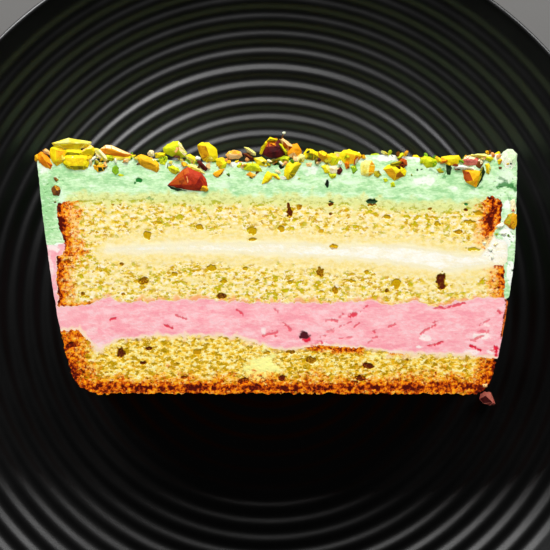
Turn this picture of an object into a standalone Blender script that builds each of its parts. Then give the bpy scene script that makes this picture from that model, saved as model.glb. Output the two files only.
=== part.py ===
"""A slice of layered ice cream cassata lying on its cut side on a ribbed round plate.

Metres, +Z up. The origin is under the middle of the plate, on the table. The slice was cut
across a loaf: its long side runs along X, the loaf's height along +Y, and the slice's
thickness along +Z, so that the upper cut face looks up.
"""

import math
import random
from dataclasses import dataclass

import bmesh
import bpy
from mathutils import Euler, Vector

MM = 0.001

# Plate: a low coupe plate, turned, with ribs left by the throwing.
PLATE_RADIUS = 102.4 * MM
PLATE_HEIGHT = 18.0 * MM
PLATE_FOOT_RADIUS = 62.0 * MM
PLATE_FLOOR = 6.0 * MM
PLATE_FLAT_RADIUS = 68.0 * MM
PLATE_WALL = 4.2 * MM
PLATE_LIP = 1.0 * MM
PLATE_SEGMENTS = 40
RIM_BEND = 1.5
RIB_DEPTH = 0.6 * MM
RIB_FIRST = 5.6 * MM
RIB_PITCH = 4.6 * MM
RIB_LAST = 98.0 * MM

# Slice: where the loaf's floor line and middle lie on the plate, and how thick it is.
SLICE_X = 2.6
SLICE_Y = -22.2
SLICE_THICKNESS = 24.0 * MM
GAP = 0.3
SLICE_UNDER = PLATE_FLOOR + GAP * MM
SLICE_FACE = SLICE_UNDER + SLICE_THICKNESS

# The far corners of the green ice cream lie where the plate rises, and have taken its shape.
PRESS_START = PLATE_FLAT_RADIUS + 1.0 * MM
PRESS_END = 84.0 * MM
PRESS_STEPS = 10

# How closely the section's borders, walls and rounded bottom corners are sampled, in mm.
BORDER_STEP = 2.2
WALL_STEP = 3.5
CORNER_TOP = 3.6
CORNER_HEIGHTS = (0.0, 0.4, 1.0, 2.0, CORNER_TOP)

# Section of the loaf, in millimetres: x from its middle, h up from the floor of its tin.
# A side gives x for each h; a border between two layers gives h for each x.
LEFT_WALL = (
    (0.0, -47.5), (0.6, -49.4), (1.7, -51.0), (3.6, -52.9), (7.8, -54.2), (20.2, -56.9),
    (38.8, -59.8), (60.6, -62.3),
)
RIGHT_WALL = (
    (0.0, 52.4), (0.8, 53.6), (3.6, 55.2), (8.8, 56.9), (18.1, 58.7), (28.5, 60.4),
    (36.7, 61.4), (60.6, 62.0),
)
CROWN = (
    (-62.3, 60.6), (-40.8, 61.3), (-16.2, 59.9), (5.8, 60.6), (27.3, 61.9), (44.0, 60.6),
    (50.5, 60.8), (57.0, 62.2), (62.0, 60.6),
)
GREEN_UNDER = (
    (-57.1, 49.2), (-46.0, 50.5), (-7.1, 50.2), (18.8, 49.7), (36.9, 48.4), (46.0, 48.2),
    (52.4, 49.4), (55.5, 51.4), (58.0, 50.1),
)
CREAM_OVER = (
    (-54.5, 37.3), (-47.2, 37.5), (-25.2, 38.8), (-7.1, 39.1), (11.0, 38.6), (14.9, 37.7),
    (18.8, 38.5), (31.7, 38.3), (39.5, 37.4), (48.5, 35.8), (52.2, 35.9), (54.6, 38.7),
    (56.8, 40.4), (59.3, 39.4),
)
CREAM_UNDER = (
    (-54.2, 37.1), (-44.0, 37.0), (-25.2, 37.0), (-7.1, 36.5), (18.8, 35.2), (31.7, 33.9),
    (44.6, 32.1), (52.4, 33.3), (58.5, 33.5),
)
BERRY_OVER = (
    (-56.7, 22.9), (-48.5, 23.2), (-44.0, 25.5), (-40.4, 23.9), (-16.7, 24.6), (-9.7, 23.7),
    (5.8, 23.6), (24.5, 24.1), (30.4, 23.1), (35.6, 24.2), (40.5, 22.9), (52.4, 25.0),
    (58.8, 24.9),
)
BERRY_UNDER = (
    (-55.8, 16.6), (-50.5, 16.0), (-46.6, 11.0), (-41.3, 14.1), (-25.2, 15.0), (-12.0, 14.7),
    (3.2, 11.4), (9.7, 12.6), (23.9, 11.8), (33.0, 10.5), (47.2, 10.2), (56.9, 8.8),
)
TOP_SPONGE_LEFT = ((37.3, -54.5), (38.8, -55.2), (43.0, -56.5), (49.2, -57.1))
TOP_SPONGE_RIGHT = ((38.7, 54.6), (41.0, 55.9), (42.5, 56.9), (45.0, 57.8), (50.1, 58.0))
MIDDLE_SPONGE_LEFT = ((22.9, -56.7), (30.0, -57.1), (35.6, -56.9))
MIDDLE_SPONGE_RIGHT = ((24.9, 58.8), (33.5, 58.5))
CREAM_RIGHT = ((33.6, 59.3), (36.5, 59.6), (39.4, 59.3))
GREEN_FOOT_LEFT = 38.8
GREEN_FOOT_RIGHT = 24.3
CREAM_START = -44.0
WEDGE_TOP = 37.9
WEDGE_TIP = (-55.6, 36.4)

# Pistachio kernels, in millimetres and, where a size is a share, of the length or width.
KERNEL_SEED = 41
KERNEL_SPLIT = (0.32, 0.42)
KERNEL_DEPTH = (0.72, 0.90)
KERNEL_TILT = 18.0
POCKET_GAP = 1.15 * GAP
BACK_KERNELS = 14
BACK_KERNEL_LENGTH = (5.6, 8.4)
BACK_KERNEL_SLENDER = (0.60, 0.80)
BACK_KERNEL_CLEAR = 0.9
BACK_KERNEL_LIFT = (-0.38, -0.12)
BACK_KERNEL_X = 56.0
BACK_KERNEL_NEAREST = 8.0
BACK_KERNEL_EDGE = 1.2


@dataclass(frozen=True)
class Kernel:
    """One chopped kernel: its middle on the section, its size and turn, and its depth.

    ``under`` is how far the kernel's middle lies below the slice's upper cut face.
    """

    x: float
    h: float
    length: float
    width: float
    turn: float
    under: float


# The kernels that show along the upper cut face, from left to right.
FACE_KERNELS = (
    Kernel(x=-57.6, h=61.6, length=6.4, width=4.0, turn=84, under=2.6),
    Kernel(x=-52.4, h=64.0, length=9.4, width=3.4, turn=6, under=6.8),
    Kernel(x=-51.9, h=59.9, length=6.8, width=4.5, turn=-8, under=1.6),
    Kernel(x=-43.4, h=62.2, length=6.6, width=3.6, turn=10, under=3.4),
    Kernel(x=-33.5, h=60.0, length=6.4, width=4.9, turn=-30, under=1.5),
    Kernel(x=-26.5, h=62.4, length=5.9, width=4.6, turn=20, under=3.0),
    Kernel(x=-22.9, h=55.4, length=9.4, width=6.0, turn=-6, under=1.5),
    Kernel(x=-18.0, h=61.9, length=6.0, width=5.4, turn=-50, under=2.2),
    Kernel(x=-6.8, h=58.2, length=5.2, width=4.0, turn=15, under=1.4),
    Kernel(x=-0.9, h=63.0, length=7.6, width=5.4, turn=-12, under=3.2),
    Kernel(x=4.2, h=57.9, length=5.4, width=4.6, turn=70, under=1.6),
    Kernel(x=6.3, h=62.7, length=5.2, width=4.3, turn=-25, under=7.0),
    Kernel(x=18.8, h=61.2, length=7.4, width=4.3, turn=-10, under=2.0),
    Kernel(x=24.3, h=58.2, length=5.9, width=4.9, turn=65, under=1.6),
    Kernel(x=30.8, h=58.2, length=6.4, width=5.8, turn=20, under=1.6),
    Kernel(x=45.4, h=60.4, length=5.4, width=3.8, turn=-6, under=1.8),
    Kernel(x=50.6, h=56.6, length=5.7, width=5.0, turn=80, under=1.7),
)


def make_material(name, colour, roughness, metallic=0.0):
    """Return a Principled material of one plain colour."""
    material = bpy.data.materials.new(name)
    material.use_nodes = True
    shader = material.node_tree.nodes["Principled BSDF"]
    shader.inputs["Base Color"].default_value = (*colour, 1.0)
    shader.inputs["Roughness"].default_value = roughness
    shader.inputs["Metallic"].default_value = metallic
    return material


def smooth_curve(points):
    """Return a function through the points, smooth and with no overshoot between them."""
    ts = [point[0] for point in points]
    values = [point[1] for point in points]
    steps = [ts[i + 1] - ts[i] for i in range(len(ts) - 1)]
    slopes = [(values[i + 1] - values[i]) / steps[i] for i in range(len(steps))]
    tangents = [slopes[0]]
    for before, after in zip(slopes, slopes[1:]):
        turns = before * after <= 0.0
        tangents.append(0.0 if turns else 2.0 * before * after / (before + after))
    tangents.append(slopes[-1])

    def value(t):
        t = min(max(t, ts[0]), ts[-1])
        i = max(index for index in range(len(steps)) if ts[index] <= t or index == 0)
        u = (t - ts[i]) / steps[i]
        start = (1.0 + 2.0 * u) * (1.0 - u) ** 2 * values[i]
        end = u * u * (3.0 - 2.0 * u) * values[i + 1]
        lean = u * (1.0 - u) ** 2 * tangents[i] - u * u * (1.0 - u) * tangents[i + 1]
        return start + end + steps[i] * lean

    return value


def spread(start, end, step):
    """Return evenly spaced values from start to end, about a step apart."""
    count = max(1, round(abs(end - start) / step))
    return [start + (end - start) * i / count for i in range(count + 1)]


def along_border(border, start, end):
    """Return points (x, h) along a border between two layers, from one x to another."""
    height = smooth_curve(border)
    return [(x, height(x)) for x in spread(start, end, BORDER_STEP)]


def along_side(side, start, end):
    """Return points (x, h) along an upright side, from one h to another."""
    across = smooth_curve(side)
    return [(across(h), h) for h in spread(start, end, BORDER_STEP)]


def along_wall(wall, start, end):
    """Return points along a wall of the loaf, closer together round its bottom corner."""
    across = smooth_curve(wall)
    low, high = min(start, end), max(start, end)
    heights = [h for h in CORNER_HEIGHTS if low <= h < CORNER_TOP]
    heights += spread(max(low, CORNER_TOP), high, WALL_STEP)
    if start > end:
        heights.reverse()
    return [(across(h), h) for h in heights]


def without_repeats(points, nearest=0.25):
    """Drop each point that lies almost on the one before it."""
    kept = []
    for point in points:
        if not kept or math.dist(point, kept[-1]) > nearest:
            kept.append(point)
    if math.dist(kept[0], kept[-1]) <= nearest:
        kept.pop()
    return kept


def drawn_in(outline, distance):
    """Return an anticlockwise outline with every side moved inwards by a distance."""
    moved = []
    count = len(outline)
    for i, point in enumerate(outline):
        here = Vector(point)
        before = (here - Vector(outline[i - 1])).normalized()
        after = (Vector(outline[(i + 1) % count]) - here).normalized()
        inward_before = Vector((-before.y, before.x))
        inward_after = Vector((-after.y, after.x))
        lean = max(1.0 + inward_before.dot(inward_after), 0.5)
        moved.append(here + (inward_before + inward_after) * (distance / lean))
    return moved


def green_outline():
    """Band across the top of the loaf, with a leg down each wall."""
    return (
        along_border(CROWN, 62.0, -62.3)
        + along_wall(LEFT_WALL, 60.6, GREEN_FOOT_LEFT)
        + along_side(TOP_SPONGE_LEFT, GREEN_FOOT_LEFT, 49.2)
        + along_border(GREEN_UNDER, -57.1, 58.0)
        + along_side(TOP_SPONGE_RIGHT, 50.1, 41.0)
        + along_border(CREAM_OVER, 56.6, 59.3)
        + along_side(CREAM_RIGHT, 39.4, 33.6)
        + along_side(MIDDLE_SPONGE_RIGHT, 33.5, 24.9)
        + along_wall(RIGHT_WALL, GREEN_FOOT_RIGHT, 60.6)
    )


def top_sponge_outline():
    """Sponge sheet under the green ice cream."""
    return (
        along_border(GREEN_UNDER, 58.0, -57.1)
        + along_side(TOP_SPONGE_LEFT, 49.2, 37.3)
        + along_border(CREAM_OVER, -54.5, 54.6)
        + along_side(TOP_SPONGE_RIGHT, 38.7, 50.1)
    )


def cream_outline():
    """Thin wedge of vanilla ice cream, thickest towards the right wall."""
    return (
        along_border(CREAM_UNDER, CREAM_START, 58.5)
        + along_side(CREAM_RIGHT, 33.6, 39.4)
        + along_border(CREAM_OVER, 59.3, 56.6)
        + along_side(TOP_SPONGE_RIGHT, 41.0, 38.7)
        + along_border(CREAM_OVER, 54.6, CREAM_START)
    )


def middle_sponge_outline():
    """Sponge sheet under the vanilla ice cream."""
    return (
        along_border(CREAM_UNDER, 58.5, -54.2)
        + along_side(MIDDLE_SPONGE_LEFT, 35.6, 22.9)
        + along_border(BERRY_OVER, -56.7, 58.8)
        + along_side(MIDDLE_SPONGE_RIGHT, 24.9, 33.5)
    )


def berry_outline():
    """Band of strawberry ice cream, with a leg up the left wall that ends in a wedge."""
    return (
        along_border(BERRY_OVER, 58.8, -56.7)
        + along_side(MIDDLE_SPONGE_LEFT, 22.9, 35.6)
        + [WEDGE_TIP]
        + along_side(TOP_SPONGE_LEFT, WEDGE_TOP, GREEN_FOOT_LEFT)
        + along_wall(LEFT_WALL, GREEN_FOOT_LEFT, 16.6)
        + along_border(BERRY_UNDER, -55.8, 56.9)
        + along_wall(RIGHT_WALL, 8.8, GREEN_FOOT_RIGHT)
    )


def base_sponge_outline():
    """Sponge at the bottom of the tin."""
    return (
        along_border(BERRY_UNDER, 56.9, -55.8)
        + along_wall(LEFT_WALL, 16.6, 0.0)
        + along_wall(RIGHT_WALL, 0.0, 8.8)
    )


def add_layer(name, outline, material, collection):
    """Add one layer: its outline on the section, filled and as thick as the slice."""
    points = drawn_in(without_repeats(outline), GAP / 2.0)
    curve = bpy.data.curves.new(name, "CURVE")
    curve.dimensions = "2D"
    curve.fill_mode = "BOTH"
    curve.extrude = SLICE_THICKNESS / 2.0
    spline = curve.splines.new("POLY")
    spline.points.add(len(points) - 1)
    for knot, point in zip(spline.points, points):
        knot.co = (point[0] * MM, point[1] * MM, 0.0, 1.0)
    spline.use_cyclic_u = True
    layer = bpy.data.objects.new(name, curve)
    layer.location = (SLICE_X * MM, SLICE_Y * MM, SLICE_UNDER + SLICE_THICKNESS / 2.0)
    layer.data.materials.append(material)
    collection.objects.link(layer)
    return layer


def as_mesh(layer, collection):
    """Replace a curve object by the same shape as a mesh, its loose caps welded on."""
    bpy.context.view_layer.update()
    depsgraph = bpy.context.evaluated_depsgraph_get()
    mesh = bpy.data.meshes.new_from_object(layer.evaluated_get(depsgraph))
    shape = bmesh.new()
    shape.from_mesh(mesh)
    bmesh.ops.remove_doubles(shape, verts=shape.verts, dist=0.01 * MM)
    bmesh.ops.recalc_face_normals(shape, faces=shape.faces)
    shape.to_mesh(mesh)
    shape.free()
    name = layer.name
    matrix = layer.matrix_world.copy()
    bpy.data.objects.remove(layer)
    solid = bpy.data.objects.new(name, mesh)
    solid.matrix_world = matrix
    collection.objects.link(solid)
    return solid


def kernel_shape(kernel, rng):
    """Return a bmesh of one kernel about its own middle: an ellipsoid, split and chopped."""
    shape = bmesh.new()
    bmesh.ops.create_icosphere(shape, subdivisions=1, radius=0.55)
    depth = rng.uniform(*KERNEL_DEPTH) * kernel.width
    for vertex in shape.verts:
        vertex.co.x *= kernel.length * MM
        vertex.co.y *= kernel.width * MM
        vertex.co.z *= depth * MM
    split = Vector((rng.uniform(-0.3, 0.3), rng.choice((-1.0, 1.0)), rng.uniform(-0.5, 0.5)))
    chop = Vector((rng.choice((-1.0, 1.0)), rng.uniform(-0.5, 0.5), rng.uniform(-0.4, 0.4)))
    for normal, size in ((split, kernel.width), (chop, kernel.length)):
        normal.normalize()
        offset = rng.uniform(*KERNEL_SPLIT) * size * MM
        parts = shape.verts[:] + shape.edges[:] + shape.faces[:]
        cut = bmesh.ops.bisect_plane(
            shape, geom=parts, dist=0.01 * MM, plane_co=normal * offset, plane_no=normal,
            clear_outer=True,
        )
        rim = [part for part in cut["geom_cut"] if isinstance(part, bmesh.types.BMEdge)]
        bmesh.ops.edgenet_fill(shape, edges=rim)
    bmesh.ops.recalc_face_normals(shape, faces=shape.faces)
    return shape


def add_kernel(name, kernel, material, parts, cutters, rng):
    """Add one kernel, and the slightly larger cutter that makes its pocket."""
    shape = kernel_shape(kernel, rng)
    mesh = bpy.data.meshes.new(name)
    shape.to_mesh(mesh)
    mesh.materials.append(material)
    shape.normal_update()
    grown = [v.co + v.normal * POCKET_GAP * MM * v.calc_shell_factor() for v in shape.verts]
    for vertex, place in zip(shape.verts, grown):
        vertex.co = place
    pocket_mesh = bpy.data.meshes.new(f"{name}_pocket")
    shape.to_mesh(pocket_mesh)
    shape.free()
    tilt = math.radians(rng.uniform(-KERNEL_TILT, KERNEL_TILT))
    place = Vector(
        ((SLICE_X + kernel.x) * MM, (SLICE_Y + kernel.h) * MM, SLICE_FACE - kernel.under * MM)
    )
    turn = Euler((tilt, tilt / 2.0, math.radians(kernel.turn)))
    piece = bpy.data.objects.new(name, mesh)
    pocket = bpy.data.objects.new(f"{name}_pocket", pocket_mesh)
    for item, collection in ((piece, parts), (pocket, cutters)):
        item.location = place
        item.rotation_euler = turn
        collection.objects.link(item)
    pocket.hide_render = True
    pocket.display_type = "WIRE"
    return pocket


def back_kernels(rng):
    """Return kernels strewn over the loaf's top behind the ones on the cut face."""
    crown = smooth_curve(CROWN)
    thickness = SLICE_THICKNESS / MM
    taken = [(kernel.x, kernel.under, kernel.length) for kernel in FACE_KERNELS]
    found = []
    while len(found) < BACK_KERNELS:
        length = rng.uniform(*BACK_KERNEL_LENGTH)
        width = length * rng.uniform(*BACK_KERNEL_SLENDER)
        x = rng.uniform(-BACK_KERNEL_X, BACK_KERNEL_X)
        deepest = thickness - length / 2.0 - BACK_KERNEL_EDGE
        under = rng.uniform(BACK_KERNEL_NEAREST, deepest)
        clear = all(
            math.hypot(x - other_x, under - other_under)
            > (length + other_length) / 2.0 + BACK_KERNEL_CLEAR
            for other_x, other_under, other_length in taken
        )
        if clear:
            taken.append((x, under, length))
            turn = rng.uniform(-90.0, 90.0)
            lift = rng.uniform(*BACK_KERNEL_LIFT) * width
            found.append(Kernel(x, crown(x) + lift, length, width, turn, under))
    return found


def rib_radii():
    """Return the radius of every rib's crest, from the middle outwards."""
    radii = [RIB_FIRST]
    while radii[-1] + RIB_PITCH < RIB_LAST:
        radii.append(radii[-1] + RIB_PITCH)
    return radii


def floor_height(radius):
    """Return the height of the plate's upper face over its ribs' crests."""
    run = max(radius - PLATE_FLAT_RADIUS, 0.0) / (PLATE_RADIUS - PLATE_FLAT_RADIUS)
    return PLATE_FLOOR + (PLATE_HEIGHT - PLATE_FLOOR) * run**RIM_BEND


def plate_profile():
    """Return the plate's half section, from its middle over the ribs and rim to its foot."""
    crests = rib_radii()
    profile = [(0.0, floor_height(0.0) - RIB_DEPTH / 2.0)]
    for crest, following in zip(crests, crests[1:] + [PLATE_RADIUS - PLATE_LIP]):
        trough = (crest + following) / 2.0
        profile.append((crest, floor_height(crest)))
        profile.append((trough, floor_height(trough) - RIB_DEPTH))
    profile.append((PLATE_RADIUS - PLATE_LIP, PLATE_HEIGHT - 0.3 * PLATE_LIP))
    profile.append((PLATE_RADIUS - 0.4 * PLATE_LIP, PLATE_HEIGHT))
    profile.append((PLATE_RADIUS, PLATE_HEIGHT - 0.5 * PLATE_LIP))
    for share in (0.92, 0.75, 0.5, 0.2):
        radius = PLATE_FLAT_RADIUS + (PLATE_RADIUS - PLATE_FLAT_RADIUS) * share
        profile.append((radius + 0.2 * PLATE_WALL, floor_height(radius) - PLATE_WALL))
    profile.append((PLATE_FOOT_RADIUS + 3.0 * MM, PLATE_FLOOR - PLATE_WALL))
    profile.append((PLATE_FOOT_RADIUS, 0.0))
    profile.append((0.0, 0.0))
    return profile


def turned(name, profile, edges, collection):
    """Add an object made by turning a section of radii and heights about +Z."""
    mesh = bpy.data.meshes.new(name)
    mesh.from_pydata([(radius, 0.0, height) for radius, height in profile], edges, [])
    item = bpy.data.objects.new(name, mesh)
    collection.objects.link(item)
    screw = item.modifiers.new("turn", "SCREW")
    screw.axis = "Z"
    screw.steps = PLATE_SEGMENTS
    screw.render_steps = PLATE_SEGMENTS
    screw.use_merge_vertices = True
    screw.merge_threshold = 0.00001
    screw.use_smooth_shade = False
    return item


def add_plate(material, collection):
    """Add the plate: its half section turned about +Z."""
    profile = plate_profile()
    plate = turned("plate", profile, [(i, i + 1) for i in range(len(profile) - 1)], collection)
    plate.data.materials.append(material)
    return plate


def add_rim_press(collection):
    """Add the cutter that gives the slice's far corners the shape of the plate's rise."""
    radii = [PRESS_START + (PRESS_END - PRESS_START) * i / PRESS_STEPS for i in range(PRESS_STEPS + 1)]
    profile = [(radius, floor_height(radius) + GAP * MM) for radius in radii]
    profile += [(PRESS_END, 0.0), (PRESS_START, 0.0)]
    count = len(profile)
    press = turned("rim_press", profile, [(i, (i + 1) % count) for i in range(count)], collection)
    press.display_type = "WIRE"
    press.hide_render = True
    return press


def cut_pockets(layer, pockets):
    """Cut a pocket for every kernel, and the press of the rim, into a layer."""
    for pocket in pockets:
        cut = layer.modifiers.new(pocket.name, "BOOLEAN")
        cut.operation = "DIFFERENCE"
        cut.solver = "EXACT"
        cut.object = pocket


def main():
    """Model the plate, the six layers of the slice and the kernels on it."""
    for item in list(bpy.data.objects):
        bpy.data.objects.remove(item)
    parts = bpy.data.collections.new("cassata_slice")
    cutters = bpy.data.collections.new("pocket_cutters")
    bpy.context.scene.collection.children.link(parts)
    bpy.context.scene.collection.children.link(cutters)

    glaze = make_material("plate_glaze", (0.012, 0.012, 0.013), 0.45)
    green = make_material("green_ice_cream", (0.60, 0.86, 0.50), 0.45)
    sponge = make_material("sponge_cake", (0.80, 0.62, 0.20), 0.85)
    cream = make_material("vanilla_ice_cream", (0.95, 0.89, 0.68), 0.45)
    berry = make_material("strawberry_ice_cream", (0.93, 0.42, 0.46), 0.45)
    nut = make_material("pistachio", (0.70, 0.60, 0.06), 0.55)

    add_plate(glaze, parts)
    band = as_mesh(add_layer("pistachio_ice_cream", green_outline(), green, parts), parts)
    add_layer("sponge_top", top_sponge_outline(), sponge, parts)
    add_layer("vanilla_ice_cream", cream_outline(), cream, parts)
    add_layer("sponge_middle", middle_sponge_outline(), sponge, parts)
    add_layer("strawberry_ice_cream", berry_outline(), berry, parts)
    add_layer("sponge_base", base_sponge_outline(), sponge, parts)

    rng = random.Random(KERNEL_SEED)
    kernels = list(FACE_KERNELS) + back_kernels(rng)
    pockets = [
        add_kernel(f"kernel_{number:02d}", kernel, nut, parts, cutters, rng)
        for number, kernel in enumerate(kernels, start=1)
    ]
    cut_pockets(band, [add_rim_press(cutters)] + pockets)


main()
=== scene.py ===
"""Looks for the cassata slice: a slab of layered ice cream cake, cut face up, on a dark ribbed plate.

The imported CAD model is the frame. The cut face is one fine sheet of triangles that is shared out among the
layers, so that neighbours meet without a gap, and each layer's walls hang from its share of the sheet.
Sizes are in millimetres until a mesh is made. Places on the cut face are pixels of the 550 by 550 reference
picture, which looks straight down on it.
"""

import logging
import math
from dataclasses import dataclass, field
from enum import Enum, IntEnum

import bmesh
import bpy
import numpy as np
from mathutils import Matrix, Vector, noise
from mathutils.geometry import delaunay_2d_cdt
from mathutils.kdtree import KDTree


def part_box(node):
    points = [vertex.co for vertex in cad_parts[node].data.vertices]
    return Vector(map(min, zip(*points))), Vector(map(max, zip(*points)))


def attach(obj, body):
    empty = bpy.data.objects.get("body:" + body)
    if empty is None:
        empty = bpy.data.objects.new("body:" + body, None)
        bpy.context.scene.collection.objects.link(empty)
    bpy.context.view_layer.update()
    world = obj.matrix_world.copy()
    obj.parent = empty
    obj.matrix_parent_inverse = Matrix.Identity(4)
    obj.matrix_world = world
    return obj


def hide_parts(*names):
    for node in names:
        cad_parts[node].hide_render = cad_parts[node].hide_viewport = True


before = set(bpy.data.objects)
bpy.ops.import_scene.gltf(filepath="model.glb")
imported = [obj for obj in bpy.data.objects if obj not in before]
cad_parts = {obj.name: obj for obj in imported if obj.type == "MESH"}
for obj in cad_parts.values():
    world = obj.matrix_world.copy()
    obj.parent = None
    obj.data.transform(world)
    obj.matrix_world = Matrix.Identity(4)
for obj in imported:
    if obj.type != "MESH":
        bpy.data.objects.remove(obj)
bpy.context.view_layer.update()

LOG = logging.getLogger("cassata")
MM = 0.001
BODY = "root"
# Edges of the layers and the plate that bend by more degrees than this stay crisp.
SHARP_EDGE = 68.0
# The same for the nuts; facets that bend by fewer degrees than FLAT_FACET become one.
NUT_EDGE = 32.0
FLAT_FACET = 7.0
# How wide the edges between a nut's facets are, in millimetres.
NUT_BEVEL = 0.09
# In millimetres: how deep a hollow, a tear and the berry sink, and the gap between pressed cream and plate.
HOLLOW_DEPTH = 0.32
TEAR_DEPTH = 0.12
BERRY_DEPTH = 0.3
PRESS_GAP = 0.3
# The share of its relief that the flat cut face keeps.
FACE_RELIEF = 0.55
# What places are multiplied by to stretch the noise of the crumb along the layers.
KNIFE_PULL = (0.66, 1.0, 0.66)
# The size of the table behind the random waves, and where they are read first.
WAVE_TABLE = 64
WAVE_SHIFT = 31.7
# How far the seeds of neighbouring marks lie apart.
SEED_STEP = 7

# The reference picture: millimetres per pixel on the cut face, and the pixel of the slice's middle and foot.
PHOTO_SCALE = 0.2588
PHOTO_MIDDLE = 277.5
PHOTO_FOOT = 394.0
# The same place in the plan of the plate.
SLICE_X = 2.6
SLICE_Y = -22.2

# The corners of a triangle, two by two.
SIDES = ((0, 1), (1, 2), (2, 0))

Loop = np.ndarray
Marks = dict[str, np.ndarray]
Colour = tuple[float, float, float, float]
Screen = tuple[int, int, int]
Node = bpy.types.Node
Socket = bpy.types.NodeSocket
NodeTree = bpy.types.NodeTree
Object = bpy.types.Object
Material = bpy.types.Material
Shape = bmesh.types.BMesh


class Seed(IntEnum):
    """The first seed of each random pattern of the layers."""

    BORDERS = 11
    BORDERS_UP = 21
    RIM = 31
    DRIFT = 61
    DRIFT_DOWN = 71
    SOAKED = 81
    BLUSH = 84
    WEST_FROST = 91
    DRAGGED = 92
    SHADE = 95
    ROUGH_END = 96
    HOLLOWS = 300
    CRUSTS = 400
    PALE = 500
    TEARS = 600
    BERRY = 640
    BERRY_RED = 650
    PINK_FROST = 660
    GREEN_FROST = 700
    GREEN_DEEP = 750
    SPECKS = 780
    VEINS = 790


def spot(px: float, py: float) -> np.ndarray:
    """The plan, in millimetres, of a pixel of the reference picture on the cut face."""
    return np.array(((px - PHOTO_MIDDLE) * PHOTO_SCALE + SLICE_X, (PHOTO_FOOT - py) * PHOTO_SCALE + SLICE_Y))


def spot_span(first: float, last: float) -> tuple[float, float]:
    """The plan x of two pixel columns of the reference picture."""
    return float(spot(first, 0)[0]), float(spot(last, 0)[0])


def trail(*pixels: float) -> np.ndarray:
    """The plan of a line that is given by pixels x, y, x, y and so on."""
    return np.array([spot(x, y) for x, y in zip(pixels[::2], pixels[1::2])])


def paint(red: float, green: float, blue: float) -> Colour:
    """A screen colour of 0 to 255 as the linear colour that a shader takes."""
    parts = [value / 255 for value in (red, green, blue)]
    linear = [part / 12.92 if part < 10.3 / 255 else ((part + 0.055) / 1.055) ** 2.4 for part in parts]
    return (*linear, 1.0)


def fade(values: np.ndarray, start: float, end: float) -> np.ndarray:
    """A smooth step from 0 at start to 1 at end, which may be the smaller."""
    t = np.clip((values - start) / (end - start), 0.0, 1.0)
    return t * t * (3.0 - 2.0 * t)


def ripple(places: np.ndarray, size: float, seed: int) -> np.ndarray:
    """Smooth random waves.

    Args:
        places: points, one a row, in millimetres.
        size: distance between neighbouring waves.
        seed: which waves.

    Returns:
        One number from -1 to 1 for each place.
    """
    table = np.random.default_rng(seed).uniform(-1.0, 1.0, (WAVE_TABLE, WAVE_TABLE))
    grid = places / size + WAVE_SHIFT
    cell = np.floor(grid).astype(int)
    part = grid - cell
    part = part * part * (3.0 - 2.0 * part)
    x, y = (cell % (WAVE_TABLE - 1)).T
    low = table[x, y] * (1 - part[:, 0]) + table[x + 1, y] * part[:, 0]
    high = table[x, y + 1] * (1 - part[:, 0]) + table[x + 1, y + 1] * part[:, 0]
    return low * (1 - part[:, 1]) + high * part[:, 1]


def waves(places: np.ndarray, seed: int, *bands: tuple[float, float], base: float = 0.0) -> np.ndarray:
    """Ripples added to a base; each band of them has a strength and a size in millimetres."""
    total = np.full(len(places), base)
    for number, (strength, size) in enumerate(bands):
        total += strength * ripple(places, size, seed + number)
    return total


def distance_to_line(places: np.ndarray, line: np.ndarray) -> np.ndarray:
    """Shortest distance from each place to an open line."""
    best = np.full(len(places), np.inf)
    for start, end in zip(line[:-1], line[1:]):
        span = end - start
        away = places - start
        along = np.clip(away @ span / max(span @ span, 1e-9), 0.0, 1.0)
        best = np.minimum(best, ((away - along[:, None] * span) ** 2).sum(1))
    return np.sqrt(best)


def depth_inside(places: np.ndarray, loop: Loop) -> np.ndarray:
    """Distance from each place to a closed loop, positive inside it and negative outside."""
    inside = np.zeros(len(places), bool)
    x, y = places.T
    for (ax, ay), (bx, by) in zip(loop, np.roll(loop, -1, axis=0)):
        if ay != by:
            inside ^= ((ay > y) != (by > y)) & (x < ax + (y - ay) * (bx - ax) / (by - ay))
    distance = distance_to_line(places, np.vstack((loop, loop[:1])))
    return np.where(inside, distance, -distance)


def rim_edges(triangles: np.ndarray) -> np.ndarray:
    """The directed edges that only one triangle uses."""
    directed = np.concatenate([triangles[:, pair] for pair in SIDES])
    low, high = directed.min(1).astype(np.int64), directed.max(1).astype(np.int64)
    _, first, count = np.unique(low * (high.max() + 1) + high, return_index=True, return_counts=True)
    return directed[first[count == 1]]


def chain(edges: np.ndarray) -> list[np.ndarray]:
    """Joins directed edges end to end into closed loops of vertex numbers, the longest first."""
    after = {int(a): int(b) for a, b in edges}
    loops = []
    while after:
        start = next(iter(after))
        loop, step = [start], after.pop(start)
        while step != start:
            loop.append(step)
            step = after.pop(step)
        loops.append(np.array(loop))
    return sorted(loops, key=len, reverse=True)


def resample(loop: Loop, spacing: float) -> Loop:
    """A closed loop again, with its points evenly about spacing apart."""
    closed = np.vstack((loop, loop[:1]))
    travel = np.concatenate(([0.0], np.cumsum(np.hypot(*np.diff(closed, axis=0).T))))
    marks = np.linspace(0.0, travel[-1], int(travel[-1] / spacing), endpoint=False)
    return np.column_stack([np.interp(marks, travel, closed[:, axis]) for axis in (0, 1)])


def outward(loop: Loop) -> np.ndarray:
    """The unit direction out of a counter-clockwise loop at each of its points."""
    along = np.roll(loop, -1, axis=0) - np.roll(loop, 1, axis=0)
    across = np.column_stack((along[:, 1], -along[:, 0]))
    return across / np.maximum(np.hypot(*across.T), 1e-9)[:, None]


class Layer(Enum):
    """The layers of the slice, by the name of the CAD node."""

    GREEN = "pistachio_ice_cream"
    TOP = "sponge_top"
    CREAM = "vanilla_ice_cream"
    MIDDLE = "sponge_middle"
    PINK = "strawberry_ice_cream"
    BASE = "sponge_base"


LAYERS = tuple(Layer)
SPONGES = (Layer.TOP, Layer.MIDDLE, Layer.BASE)


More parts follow.
